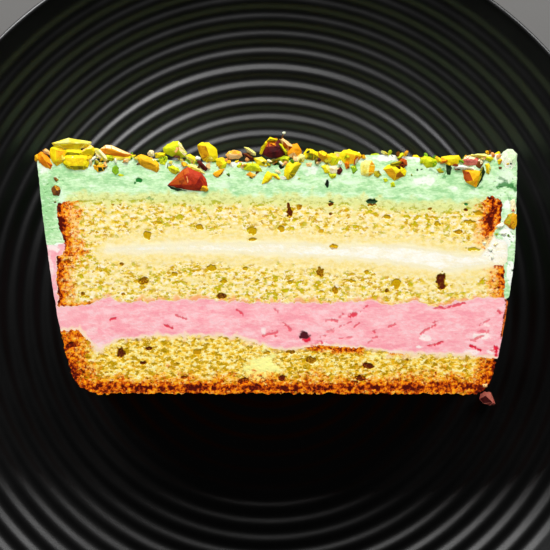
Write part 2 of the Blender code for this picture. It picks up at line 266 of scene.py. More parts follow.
def node_outline(name: str, skin: float = 0.3) -> Loop:
    """The plan outline of a CAD layer, read from the side that lies on the plate.

    Args:
        name: the CAD node.
        skin: how near to the plate a triangle lies to count, in millimetres.

    Returns:
        The outline's points, counter-clockwise from above.
    """
    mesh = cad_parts[name].data
    points = np.array([v.co for v in mesh.vertices]) / MM
    _, same = np.unique(np.round(points, 3), axis=0, return_inverse=True)
    same = same.reshape(-1)
    plan = np.zeros((same.max() + 1, 2))
    plan[same] = points[:, :2]
    low = points[:, 2] < Plate().surface(np.hypot(points[:, 0], points[:, 1])) + PRESS_GAP + skin
    faces = [p.vertices[:] for p in mesh.polygons if low[list(p.vertices)].all()]
    underside = same[np.array(faces)][:, ::-1]
    return plan[chain(rim_edges(underside))[0]]


class Chart:
    """A grid of numbers over the cut face that can be read at any place between its points."""

    def __init__(self, low: np.ndarray, high: np.ndarray, step: float = 0.3) -> None:
        """Lays out the grid from one corner to the other."""
        self.low = low
        self.step = step
        self.shape = tuple(np.ceil((high - low) / step).astype(int) + 1)
        across, up = np.meshgrid(*(low[i] + step * np.arange(self.shape[i]) for i in (0, 1)), indexing="ij")
        self.places = np.column_stack((across.ravel(), up.ravel()))

    def read(self, values: np.ndarray, places: np.ndarray) -> np.ndarray:
        """The values at the given places, from those of the grid around each."""
        grid = (places - self.low) / self.step
        cell = np.clip(np.floor(grid).astype(int), 0, np.array(self.shape) - 2)
        part = np.clip(grid - cell, 0.0, 1.0)
        table = values.reshape(self.shape)
        x, y = cell.T
        left = table[x, y] * (1 - part[:, 1]) + table[x, y + 1] * part[:, 1]
        right = table[x + 1, y] * (1 - part[:, 1]) + table[x + 1, y + 1] * part[:, 1]
        return left * (1 - part[:, 0]) + right * part[:, 0]


@dataclass(frozen=True)
class Oval:
    """An oval on the cut face: the pixel of its middle, and its width and height in pixels."""

    px: float
    py: float
    width: float
    height: float

    def away(self, places: np.ndarray) -> np.ndarray:
        """The distance of each place from the oval's middle, which is 1 on its edge."""
        reach = np.array((self.width, self.height)) * PHOTO_SCALE / 2
        return np.hypot(*((places - spot(self.px, self.py)) / reach).T)


@dataclass(frozen=True)
class Hollow(Oval):
    """A large pore in the crumb, or a dark spot in the ice cream; the pore's darker colour is painted shade,
    and partly the spot's.
    """

    depth: float = 1.2
    # How strongly its colour is darkened, mostly as painted shade.
    dark: float = 0.5

    def shape(self, places: np.ndarray, seed: int) -> np.ndarray:
        """From 1 in the middle of the hollow to 0 at its ragged edge and beyond."""
        ragged = waves(places, seed, (0.36, 0.55), (0.26, 1.3))
        return 1.0 - fade(self.away(places) + ragged, 0.75, 1.15)


@dataclass(frozen=True)
class Patch(Oval):
    """A soft patch of frost, stain or paler food."""

    strength: float = 1.0

    def shape(self, places: np.ndarray, seed: int) -> np.ndarray:
        """From the patch's strength in its middle to 0 at its uneven edge."""
        uneven = waves(places, seed, (0.35, 1.6), (0.2, 0.6))
        return self.strength * (1.0 - fade(self.away(places) + uneven, 0.3, 1.15))


@dataclass(frozen=True)
class Tear:
    """A ragged line of small tears that the knife left, or a vein of stain, with gaps where it is broken."""

    pixels: tuple[float, ...]
    width: float = 0.5
    red: float = 0.6
    broken: float = -0.7

    def shape(self, places: np.ndarray, seed: int) -> np.ndarray:
        """From 1 along the tear to 0 beside it, broken up by gaps."""
        near = distance_to_line(places, trail(*self.pixels)) / self.width
        near = near + 0.8 * np.abs(ripple(places, 0.7, seed)) - 0.2
        gaps = fade(waves(places, seed + 1, (1.0, 1.1), (0.5, 0.5)), self.broken, self.broken + 0.3)
        return (1.0 - fade(near, 0.35, 1.0)) * gaps


def strongest(marks: tuple, places: np.ndarray, seed: int, weight: str = "") -> np.ndarray:
    """The strongest of some marks at each place, each times its own value of the name in weight."""
    best = np.zeros(len(places))
    for number, mark in enumerate(marks):
        share = getattr(mark, weight) if weight else 1.0
        best = np.maximum(best, share * mark.shape(places, seed + SEED_STEP * number))
    return best


# The sponges' large pores; their darker colour is painted shade.
HOLLOWS = tuple(Hollow(*row) for row in (
    (147, 235, 9, 8), (200, 227, 8, 5), (253, 231, 10, 8), (253, 239, 7, 5), (281, 229, 7, 6),
    (290, 212, 7, 10, 1.4, 1.15), (288, 205, 3, 6, 0.8, 1.0), (299, 207, 6, 5, 0.8, 0.7),
    (334, 247, 9, 5, 0.8, 0.5), (331, 204, 5, 4, 1.2, 0.95), (331, 214, 4, 3, 1.2, 0.9),
    (372, 202, 11, 7, 1.0, 0.85), (387, 217, 7, 4), (437, 224, 8, 6), (478, 213, 9, 4, 1.2, 0.5),
    (470, 222, 10, 4, 1.2, 0.5), (459, 232, 10, 4, 1.2, 0.6), (473, 249, 14, 4, 0.8, 0.35),
    (430, 209, 4, 3, 1.2, 0.8), (466, 210, 4, 3, 1.2, 0.9), (113, 205, 4, 3, 0.8, 0.7),
    (120, 205, 3, 2, 0.8, 0.9), (160, 223, 8, 4), (144, 281, 9, 8, 1.6, 0.8), (174, 274, 6, 5),
    (122, 264, 4, 3, 1.0, 0.8), (82, 294, 5, 5, 1.2, 0.8), (123, 294, 4, 3, 1.0, 0.8),
    (68, 262, 8, 5, 1.2, 0.9), (212, 268, 9, 7), (221, 296, 8, 5, 1.2, 0.9), (320, 273, 7, 9, 1.4, 0.8),
    (335, 291, 9, 8, 1.4, 0.7), (224, 281, 7, 4), (257, 281, 5, 4), (245, 269, 5, 4),
    (441, 281, 9, 18, 2.4, 1.15), (396, 284, 10, 10), (387, 291, 4, 4, 1.2, 0.9), (352, 281, 8, 4),
    (290, 282, 5, 4), (367, 272, 5, 4), (120, 353, 9, 9, 2.0, 1.2), (148, 349, 8, 4, 1.2, 1.0),
    (143, 363, 7, 4, 1.2, 1.1), (197, 352, 11, 6), (266, 353, 8, 4), (310, 360, 12, 6, 1.4, 0.8),
    (369, 366, 11, 6, 1.6, 1.15), (184, 377, 9, 4, 1.2, 0.9), (291, 352, 8, 4, 1.2, 0.8),
    (360, 378, 12, 5, 1.6, 1.15), (354, 382, 8, 4, 1.6, 1.2), (407, 360, 3, 3, 1.2, 0.8),
    (282, 378, 6, 6, 1.4, 1.2), (244, 381, 9, 6, 1.4, 1.2), (79, 373, 9, 7, 1.2, 1.25),
    (71, 345, 9, 6, 1.2, 1.25),
))
# Dark spots and pits in the pistachio ice cream: partly its own dark spots, partly painted shade, nearly
# black in holes and in the gaps between the nuts.
SPECKS = tuple(Hollow(*row) for row in (
    (139, 180, 5, 4.5, 0.3, 1.0), (135, 183, 2.5, 2.5, 0.2, 0.9), (149, 200, 7.5, 6, 0.3, 0.6),
    (327, 184, 3, 6, 1.2, 1.4), (99, 160, 11, 7, 1.0, 1.4), (72, 153, 8, 5, 1.0, 1.4),
    (275, 163, 7, 5, 1.2, 1.4), (281, 166, 5, 5, 1.2, 1.4), (396, 177, 6, 5, 0.8, 1.4),
    (372, 202, 11, 7, 0.8, 1.35), (331, 203, 6, 4, 0.6, 1.35), (290, 201, 4, 5, 0.4, 0.8),
    (466, 204, 4, 3, 0.4, 1.0), (120, 203, 5, 3, 0.4, 0.9),
))
# Stained tears in the strawberry ice cream.
TEARS = tuple(Tear(*row) for row in (
    ((110, 320, 116, 318), 0.5, 0.9), ((176, 315, 180, 317, 186, 319), 0.45, 0.7),
    ((165, 325, 172, 328), 0.5, 0.9), ((237, 310, 239, 311, 243, 315), 0.5, 0.8),
    ((274, 309, 278, 312), 0.5, 0.55), ((263, 336, 270, 334, 277, 332), 0.55, 0.7),
    ((272, 331, 276, 336), 0.55, 0.7), ((283, 324, 287, 326, 290, 330), 0.6, 0.7),
    ((326, 321, 330, 320), 0.5, 0.55), ((332, 320, 337, 321), 0.6, 0.75), ((339, 318, 343, 314), 0.5, 0.6),
    ((350, 316, 355, 314), 0.8, 0.9), ((355, 313, 360, 312), 0.4, 0.6), ((364, 308, 367, 306), 0.45, 0.7),
    ((328, 331, 333, 331), 0.6, 0.55), ((334, 329, 341, 326), 0.35, 0.6), ((344, 325, 351, 322), 0.35, 0.55),
    ((354, 327, 359, 323), 0.35, 0.7), ((339, 338, 345, 338), 0.4, 0.6), ((347, 338, 352, 337), 0.4, 0.6),
    ((320, 337, 325, 336), 0.5, 0.55), ((317, 343, 325, 342), 0.6, 0.8), ((312, 346, 318, 346), 0.5, 0.6),
    ((372, 333, 376, 331), 0.65, 0.75), ((373, 338, 377, 337), 0.5, 0.6), ((368, 343, 372, 341), 0.5, 0.55),
    ((389, 327, 395, 324), 0.5, 0.65), ((433, 309, 438, 307), 0.5, 0.7),
    ((438, 307, 447, 308, 457, 305, 464, 303), 0.6, 0.85), ((432, 323, 438, 321), 0.5, 0.65),
    ((424, 330, 430, 328, 435, 325), 0.5, 0.75), ((420, 334, 424, 331), 0.6, 0.7),
    ((428, 345, 434, 345, 442, 342), 0.5, 0.9), ((470, 346, 474, 347, 480, 350), 0.55, 1.0),
    ((469, 340, 475, 341), 0.5, 0.6), ((475, 339, 483, 336), 0.5, 0.7), ((480, 331, 488, 332), 0.8, 0.55),
    ((479, 326, 484, 322, 489, 320), 0.4, 0.55), ((495, 347, 497, 350, 496, 354), 0.9, 1.0),
    ((490, 351, 494, 350), 0.5, 0.7), ((498, 311, 502, 314), 0.5, 0.8),
))
# Green veins in the pistachio ice cream.
VEINS = tuple(Tear(*row) for row in (
    ((497, 187, 505, 184, 512, 186, 517, 190), 0.9, 0.85, -1.2), ((499, 178, 506, 181), 0.6, 0.6),
    ((441, 168, 446, 173, 444, 177), 0.7, 0.6), ((430, 170, 438, 174), 0.6, 0.5),
    ((466, 184, 474, 189, 482, 187), 0.5, 0.5), ((508, 196, 512, 206), 0.6, 0.5),
))
# The one berry in the strawberry ice cream, and the stain beside it.
BERRY = (Hollow(303.5, 335, 10, 8, 0.9, 1.0),)
BERRY_RED = (Hollow(307, 339.5, 8, 7, 0.2, 1.0),)
# Where the two ice creams are frosted, and where the green one has a deeper colour.
PINK_FROST = tuple(Patch(*row) for row in (
    (425, 338, 14, 9), (420, 347, 14, 5), (440, 355, 34, 7), (480, 336, 22, 9), (486, 325, 14, 8, 0.7),
    (470, 352, 30, 7), (328, 346, 16, 7), (362, 350, 24, 6, 0.9), (92, 331, 22, 12, 0.5), (54, 248, 18, 12),
    (50, 268, 12, 40, 0.6), (350, 311, 10, 4, 0.6), (396, 352, 26, 6, 0.7), (492, 352, 12, 10),
    (264, 332, 8, 12, 0.7), (100, 345, 12, 10, 0.6),
))
GREEN_FROST = tuple(Patch(*row) for row in (
    (386, 158, 30, 9), (424, 181, 34, 16, 0.75), (505, 158, 26, 22, 0.9), (490, 155, 16, 12),
    (505, 176, 24, 20, 0.5), (312, 170, 30, 14, 0.65), (235, 162, 18, 8, 0.7), (452, 188, 20, 8, 0.6),
    (58, 245, 16, 8, 1.2), (497, 252, 14, 30, 1.2), (507, 235, 16, 34, 1.0), (175, 166, 30, 8, 0.7),
    (400, 158, 60, 8, 1.0), (508, 205, 14, 14, 1.0), (511, 275, 12, 40, 1.2), (45, 170, 14, 16, 0.7),
    (225, 187, 30, 10, 0.5), (350, 181, 40, 10, 0.4), (120, 196, 50, 5, 0.6), (495, 225, 12, 12, 1.0),
))
GREEN_DEEP = tuple(Patch(*row) for row in (
    (48, 208, 22, 80, 2.0), (108, 182, 60, 10, 0.8), (310, 190, 90, 10, 0.7), (50, 225, 16, 26, 1.0),
    (52, 233, 14, 12, 1.0), (140, 170, 30, 14, 0.4), (375, 188, 60, 10, 0.4), (490, 188, 36, 6, 1.0),
    (260, 186, 50, 12, 0.4), (98, 174, 24, 10, 0.6), (450, 172, 18, 14, 0.9), (508, 283, 8, 12, 0.6),
    (502, 208, 8, 20, 0.9),
))
# Where the base sponge is paler.
PALE_BASE = tuple(Patch(*row) for row in (
    (262, 369, 46, 36, 1.5), (380, 356, 34, 9, 0.8), (160, 372, 50, 9, 0.6),
))


@dataclass(frozen=True)
class Crust:
    """A browned edge of a sponge: the line that it follows and how far the brown reaches in."""

    pixels: tuple[float, ...]
    reach: float
    strength: float = 1.0

    def shape(self, places: np.ndarray, seed: int) -> np.ndarray:
        """From the crust's strength on its line to 0 where the pale crumb starts."""
        uneven = waves(places, seed, (0.35, 2.6), (0.3, 0.9), base=1.0)
        near = distance_to_line(places, trail(*self.pixels)) / (self.reach * uneven)
        clumps = waves(places, seed + 2, (0.3, 1.4), (0.2, 0.6), base=1.0)
        return self.strength * clumps * (1.0 - fade(near, 0.0, 1.25))


CRUSTS = {
    Layer.TOP: (
        Crust((57, 205, 60, 225, 63, 250), 3.4, 1.1), Crust((60, 206, 64, 245), 7.0, 0.55),
        Crust((491, 195, 494, 208, 489, 220, 487, 228), 2.6, 1.15), Crust((500, 200, 502, 236), 2.6, 0.9),
        Crust((488, 204, 486, 236), 4.5, 0.4),
    ),
    Layer.MIDDLE: (
        Crust((56, 256, 55, 280, 57, 303), 2.8, 1.15), Crust((60, 256, 60, 303), 6.0, 0.5),
        Crust((60, 254, 84, 250), 1.6, 0.8), Crust((505, 262, 506, 298), 3.2),
        Crust((503, 262, 504, 298), 5.4, 0.5), Crust((56, 306, 90, 305), 1.5, 0.6),
    ),
    Layer.BASE: (
        Crust((61, 330, 64, 345, 70, 370, 76, 384, 90, 392), 4.0, 0.95), Crust((64, 332, 84, 334), 3.0, 0.8),
        Crust((64, 345, 80, 386), 7.5, 0.6), Crust((88, 387, 300, 388, 482, 387), 2.2, 1.0),
        Crust((90, 393, 300, 394, 480, 393), 6.2, 0.65),
        Crust((497, 357, 493, 372, 488, 386, 480, 392), 3.6, 1.1), Crust((493, 362, 484, 388), 6.4, 0.6),
        Crust((392, 352, 408, 350), 1.2, 0.7), Crust((335, 349, 360, 349), 1.4, 0.8),
        Crust((310, 347, 330, 347), 1.3, 0.8),
    ),
}


class Section:
    """The slice's cross-section: every layer's outline, and how deep a place lies inside each."""

    # How far the layers are widened so that they join, and how far the chart goes beyond them.
    overlap = 0.2
    margin = 3.0
    # How far each layer's crumbs stray from the outline.
    stray = {
        Layer.GREEN: 0.05, Layer.TOP: 0.2, Layer.CREAM: 0.05,
        Layer.MIDDLE: 0.2, Layer.PINK: 0.08, Layer.BASE: 0.3,
    }

    def __init__(self) -> None:
        """Reads the outlines from the CAD nodes and charts the distances."""
        self.outlines = {layer: node_outline(layer.value) for layer in LAYERS}
        points = np.concatenate(list(self.outlines.values()))
        self.chart = Chart(points.min(0) - self.margin, points.max(0) + self.margin)
        self.depths = {layer: depth_inside(self.chart.places, loop) for layer, loop in self.outlines.items()}
        self.wall = depth_inside(self.chart.places, resample(self.whole(), 1.2))

    def whole(self) -> Loop:
        """The outline of all layers together."""
        loops = [loop + self.overlap * outward(loop) for loop in self.outlines.values()]
        starts = np.cumsum([0] + [len(loop) for loop in loops])
        faces = [list(range(a, b)) for a, b in zip(starts[:-1], starts[1:])]
        places = [Vector(p) for p in np.concatenate(loops)]
        points, _, triangles, *_ = delaunay_2d_cdt(places, [], faces, 1, 1e-5)
        return np.array([points[i] for i in chain(rim_edges(np.array(triangles)))[0]])

    def inside(self, layer: Layer, places: np.ndarray) -> np.ndarray:
        """How deep each place lies inside a layer, in millimetres."""
        return self.chart.read(self.depths[layer], places)

    def from_wall(self, places: np.ndarray) -> np.ndarray:
        """How deep each place lies inside the whole slice."""
        return self.chart.read(self.wall, places)

    def nearest(self, places: np.ndarray) -> np.ndarray:
        """The number of the layer that each place belongs to, with borders as ragged as the layers."""
        seeds = (Seed.BORDERS, Seed.BORDERS_UP)
        shift = np.column_stack([waves(places, seed, (0.35, 1.5), (0.22, 0.6)) for seed in seeds])
        calm = fade(self.inside(Layer.CREAM, places), -2.2, -0.8)[:, None]
        moved = places + shift * (1.0 - 0.75 * calm)
        return np.argmax([self.inside(layer, moved) for layer in LAYERS], axis=0)

    def ragged_rim(self, spacing: float) -> Loop:
        """The outline with fine points, crumbly where a sponge reaches it."""
        rim = resample(self.whole(), 0.6)
        for _ in range(2):
            rim = 0.5 * rim + 0.25 * (np.roll(rim, 1, axis=0) + np.roll(rim, -1, axis=0))
        rim = resample(rim, spacing)
        which = np.argmax([self.inside(layer, rim) for layer in LAYERS], axis=0)
        stray = np.array([self.stray[layer] for layer in LAYERS])[which]
        crumbly = waves(rim, Seed.RIM, (1.0, 0.8), (0.8, 2.2)) - 0.5
        return rim + (stray * crumbly)[:, None] * outward(rim)


class Steps:
    """Adds nodes to one node tree and links them as they are added."""

    def __init__(self, tree: NodeTree) -> None:
        """Takes the tree that the nodes go in."""
        self.tree = tree

    def add(self, kind: str, feeds: dict | None = None, **settings: object) -> Node:
        """Adds a node.

        Args:
            kind: the node's type.
            feeds: for each input, by number or name, a value or the socket that it comes from.
            settings: the node's own settings.

        Returns:
            The node.
        """
        node = self.tree.nodes.new(kind)
        for name, value in settings.items():
            setattr(node, name, value)
        for socket, value in (feeds or {}).items():
            if isinstance(value, Socket):
                self.tree.links.new(value, node.inputs[socket])
            else:
                node.inputs[socket].default_value = value
        return node

    def math(self, operation: str, *values: object) -> Socket:
        """The result of one sum on numbers or sockets."""
        return self.add("ShaderNodeMath", dict(enumerate(values)), operation=operation).outputs[0]

    def vector(self, operation: str, *values: object) -> Socket:
        """The result of one sum on vectors."""
        return self.add("ShaderNodeVectorMath", dict(enumerate(values)), operation=operation).outputs[0]

    def scaled(self, vector: object, factor: object) -> Socket:
        """A vector times a number."""
        return self.add("ShaderNodeVectorMath", {0: vector, 3: factor}, operation="SCALE").outputs[0]

    def part(self, vector: object, axis: int) -> Socket:
        """One of the three numbers of a vector or a colour."""
        return self.add("ShaderNodeSeparateXYZ", {0: vector}).outputs[axis]

    def step(self, value: object, start: object, end: object, low: float = 0.0, high: float = 1.0) -> Socket:
        """A smooth step of a number, from low at start to high at end."""
        feeds = {0: value, 1: start, 2: end, 3: low, 4: high}
        return self.add("ShaderNodeMapRange", feeds, interpolation_type="SMOOTHSTEP").outputs[0]

    def stirred(self, value: object, cloud: object, spread: float) -> Socket:
        """A number with noise around it, which spreads it over the given range."""
        return self.math("ADD", value, self.math("MULTIPLY_ADD", cloud, spread, -spread / 2))

    def noise(self, place: object, scale: float, detail: float = 2.0, rough: float = 0.5) -> Node:
        """Cloudy noise with so many waves in a millimetre."""
        feeds = {"Vector": place, "Scale": scale, "Detail": detail, "Roughness": rough}
        return self.add("ShaderNodeTexNoise", feeds)

    def cloud(self, place: object, scale: float, detail: float = 3.0, rough: float = 0.65) -> Socket:
        """The strength of cloudy noise, from 0 to 1."""
        return self.noise(place, scale, detail, rough).outputs[0]

    def blend(self, share: object, first: object, second: object, mode: str = "MIX") -> Socket:
        """One colour laid over another; each is a socket or a screen colour."""
        first, second = (c if isinstance(c, Socket) else paint(*c) for c in (first, second))
        feeds = {0: share, 6: first, 7: second}
        return self.add("ShaderNodeMix", feeds, data_type="RGBA", blend_type=mode).outputs[2]

    def scale(self, value: object, *stops: tuple[float, Screen]) -> Socket:
        """A scale of screen colours, read at a number."""
        node = self.add("ShaderNodeValToRGB", {0: value})
        ramp = node.color_ramp
        while len(ramp.elements) < len(stops):
            ramp.elements.new(0.5)
        for element, (place, colour) in zip(ramp.elements, stops):
            element.position = place
            element.color = paint(*colour)
        return node.outputs[0]

    def mark(self, name: str) -> Socket:
        """A number that the mesh carries at its points."""
        if self.tree.type == "GEOMETRY":
            node = self.add("GeometryNodeInputNamedAttribute", {"Name": name}, data_type="FLOAT")
            return node.outputs["Attribute"]
        return self.add("ShaderNodeAttribute", attribute_name=name).outputs["Fac"]

    def close(self, shape: Socket, start: Node, end: Node) -> None:
        """Ends a Geometry Nodes tree: instances made real, and the material set."""
        real = self.add("GeometryNodeRealizeInstances", {0: shape}).outputs[0]
        feeds = {"Geometry": real, "Material": start.outputs["Material"]}
        self.tree.links.new(self.add("GeometryNodeSetMaterial", feeds).outputs[0], end.inputs[0])

    def move(self, shape: Socket, offset: Socket, start: Node, end: Node) -> None:
        """Moves every point by an offset in metres, and ends the tree."""
        moved = self.add("GeometryNodeSetPosition", {"Geometry": shape, "Offset": offset}).outputs[0]
        self.close(moved, start, end)

    def place(self) -> Socket:
        """The place on the object, in millimetres."""
        if self.tree.type == "GEOMETRY":
            source = self.add("GeometryNodeInputPosition").outputs[0]
        else:
            source = self.add("ShaderNodeTexCoord").outputs["Object"]
        return self.scaled(source, 1.0 / MM)


def new_material(name: str) -> tuple[Material, Steps, Node]:
    """A new material, its nodes, and its surface shader."""
    material = bpy.data.materials.new(name)
    material.use_nodes = True
    steps = Steps(material.node_tree)
    return material, steps, material.node_tree.nodes["Principled BSDF"]


def set_surface(shader: Node, colour: Socket, rough: object, shine: float, soft: tuple = ()) -> None:
    """Sets a shader.

    Args:
        shader: the shader.
        colour: its base colour.
        rough: its roughness, as a number or a socket.
        shine: its specular level.
        soft: how much light scatters below it, how far in metres, and the shares of red, green and blue.
    """
    links = shader.id_data.links
    links.new(colour, shader.inputs["Base Color"])
    if isinstance(rough, Socket):
        links.new(rough, shader.inputs["Roughness"])
    else:
        shader.inputs["Roughness"].default_value = rough
    shader.inputs["Specular IOR Level"].default_value = shine
    for name, value in zip(("Weight", "Scale", "Radius"), soft):
        shader.inputs["Subsurface " + name].default_value = value


def relief(steps: Steps, shader: Node, height: object, depth: float) -> None:
    """Gives a shader fine relief of that depth in millimetres."""
    bump = steps.add("ShaderNodeBump", {"Height": height, "Distance": depth * MM, "Strength": 1.0})
    steps.tree.links.new(bump.outputs[0], shader.inputs["Normal"])


def geometry_tree(name: str, **inputs: str) -> tuple[Steps, Node, Node]:
    """A new Geometry Nodes tree.

    Args:
        name: what the tree makes.
        inputs: the socket type of each named input, after the geometry.

    Returns:
        Its nodes, its input node and its output node.
    """
    tree = bpy.data.node_groups.new(name, "GeometryNodeTree")
    tree.interface.new_socket("Geometry", in_out="OUTPUT", socket_type="NodeSocketGeometry")
    tree.interface.new_socket("Geometry", in_out="INPUT", socket_type="NodeSocketGeometry")
    for label, kind in inputs.items():
        tree.interface.new_socket(label, in_out="INPUT", socket_type="NodeSocket" + kind)
    return Steps(tree), tree.nodes.new("NodeGroupInput"), tree.nodes.new("NodeGroupOutput")


def grow(thing: Object, tree: NodeTree, **values: object) -> None:
    """Runs a Geometry Nodes tree on an object and leaves the result as its plain mesh.

    Args:
        thing: the object.
        tree: the tree.
        values: the value of each named input.
    """
    modifier = thing.modifiers.new(tree.name, "NODES")
    modifier.node_group = tree
    for item in tree.interface.items_tree:
        if item.in_out == "INPUT" and item.name in values:
            modifier[item.identifier] = values[item.name]
    bpy.context.view_layer.update()
    plain = bpy.data.meshes.new_from_object(thing.evaluated_get(bpy.context.evaluated_depsgraph_get()))
    thing.modifiers.clear()
    thing.data = plain
    plain.set_sharp_from_angle(angle=math.radians(SHARP_EDGE))


def new_object(name: str, points: np.ndarray, faces: list, marks: Marks | None = None) -> Object:
    """Makes a mesh object.

    Args:
        name: the piece's name.
        points: its points in millimetres, in the plate's frame.
        faces: the point numbers of each face.
        marks: numbers that the points carry, by name.

    Returns:
        The object, linked to the scene.
    """
    mesh = bpy.data.meshes.new(name)
    mesh.from_pydata((points * MM).tolist(), [], faces)
    for label, values in (marks or {}).items():
        mesh.attributes.new(label, "FLOAT", "POINT").data.foreach_set("value", values.astype(np.float32))
    mesh.shade_smooth()
    thing = bpy.data.objects.new(name, mesh)
    bpy.context.scene.collection.objects.link(thing)
    return thing


def hand_over(piece: Object, slot: str, *nodes: str) -> None:
    """Fixes a finished piece to the slice's body, in place of its CAD nodes."""
    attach(piece, BODY)
    if nodes:
        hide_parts(*nodes)
    LOG.info("%s: %d faces, for %s", piece.name, len(piece.data.polygons), ", ".join(nodes) or "no node")


@dataclass
class CutFace:
    """The whole cut face as one fine sheet of triangles, and the share of it that each layer has.

    Its points lie a spacing apart, and half of it where a small feature is within fine_reach. Jitter is the
    share of the spacing that they are moved by, rim_clear is how far they stay off the rim, no distance is
    counted beyond far, and rounds is how often the shares are put in order.
    """

    section: Section
    spacing: float = 0.19
    fine_reach: float = 0.5
    jitter: float = 0.3
    rim_clear: float = 0.1
    far: float = 5.0
    rounds: int = 8
    seed: int = 5
    points: np.ndarray = field(init=False)
    triangles: np.ndarray = field(init=False)
    shares: np.ndarray = field(init=False)
    borders: dict = field(init=False)

    def __post_init__(self) -> None:
        """Lays the sheet and shares it out."""
        rim = self.section.ragged_rim(self.spacing)
        busy = self.busy(self.section.chart.places)
        rows = []
        for spacing, wanted in ((self.spacing, False), (self.spacing / 2, True)):
            places = self.scatter(spacing)
            near = self.section.chart.read(busy, places) < self.fine_reach
            rows.append(places[near == wanted])
        places = np.concatenate(rows)
        limit = Chart(self.section.chart.low, self.section.chart.places.max(0))
        depth = limit.read(depth_inside(limit.places, resample(rim, 0.7)), places)
        places = np.concatenate((rim, places[depth > self.rim_clear]))
        result = delaunay_2d_cdt([Vector(p) for p in places], [], [list(range(len(rim)))], 1, 1e-6)
        self.points = np.array([p[:] for p in result[0]])
        self.triangles = np.array(result[2])
        self.shares = self.section.nearest(self.points[self.triangles].mean(1))
        self.tidy_shares()
        self.borders = self.find_borders()

    def busy(self, places: np.ndarray) -> np.ndarray:
        """About how far each place is from the nearest small feature, in millimetres."""
        best = np.full(len(places), self.far)
        for mark in HOLLOWS + SPECKS + BERRY:
            reach = max(mark.width, mark.height) * PHOTO_SCALE / 2
            best = np.minimum(best, (mark.away(places) - 1.0) * reach)
        for tear in TEARS + VEINS:
            best = np.minimum(best, distance_to_line(places, trail(*tear.pixels)))
        return best

    def scatter(self, spacing: float) -> np.ndarray:
        """Points in staggered rows over the section, each moved a little."""
        low, high = self.section.chart.low, self.section.chart.places.max(0)
        rows = np.arange(low[1], high[1], spacing * math.sqrt(0.75))
        columns = np.arange(low[0], high[0], spacing)
        x = columns[None, :] + spacing / 2 * (np.arange(len(rows)) % 2)[:, None]
        y = np.repeat(rows[:, None], len(columns), axis=1)
        places = np.column_stack((x.ravel(), y.ravel()))
        return places + np.random.default_rng(self.seed).uniform(-1, 1, places.shape) * self.jitter * spacing

    def tidy_shares(self) -> None:
        """Gives stray triangles to the layer around them, and parts that one point joins a wider join."""
        sides = np.sort(np.concatenate([self.triangles[:, pair] for pair in SIDES]), axis=1)
        owner = np.tile(np.arange(len(self.triangles)), 3)
        code = sides[:, 0].astype(np.int64) * len(self.points) + sides[:, 1]
        order = np.argsort(code, kind="stable")
        twin = np.flatnonzero(np.diff(code[order]) == 0)
        left, right = owner[order[twin]], owner[order[twin + 1]]
        for _ in range(self.rounds):
            votes = np.zeros((len(self.triangles), len(LAYERS)))
            np.add.at(votes, (left, self.shares[right]), 1)
            np.add.at(votes, (right, self.shares[left]), 1)
            best = votes.argmax(1)
            strong = (votes.max(1) >= 2) & (best != self.shares)
            self.shares[strong] = best[strong]
            for number in range(len(LAYERS)):
                starts = rim_edges(self.triangles[self.shares == number])[:, 0]
                pinched = np.flatnonzero(np.bincount(starts, minlength=len(self.points)) > 1)
                self.shares[np.isin(self.triangles, pinched).any(1)] = number

    def find_borders(self) -> dict[tuple[Layer, Layer], KDTree]:
        """The points that each two layers share, ready to be searched."""
        touching = np.zeros((len(self.points), len(LAYERS)), bool)
        for corner in range(3):
            touching[self.triangles[:, corner], self.shares] = True
        trees = {}
        for first in range(len(LAYERS)):
            for second in range(first):
                both = np.flatnonzero(touching[:, first] & touching[:, second])
                tree = KDTree(len(both))
                for number in both:
                    tree.insert((*self.points[number], 0.0), int(number))
                tree.balance()
                if len(both):
                    trees[LAYERS[first], LAYERS[second]] = trees[LAYERS[second], LAYERS[first]] = tree
        return trees

    def gap(self, layer: Layer, other: Layer, places: np.ndarray) -> np.ndarray:
        """Distance from each place in a layer to its border with another, where it is near."""
        found = np.full(len(places), self.far)
        if (layer, other) in self.borders:
            find = self.borders[layer, other].find
            near = np.flatnonzero(-self.section.inside(other, places) < self.far)
            found[near] = [min(find((x, y, 0.0))[2], self.far) for x, y in places[near].tolist()]
        return found


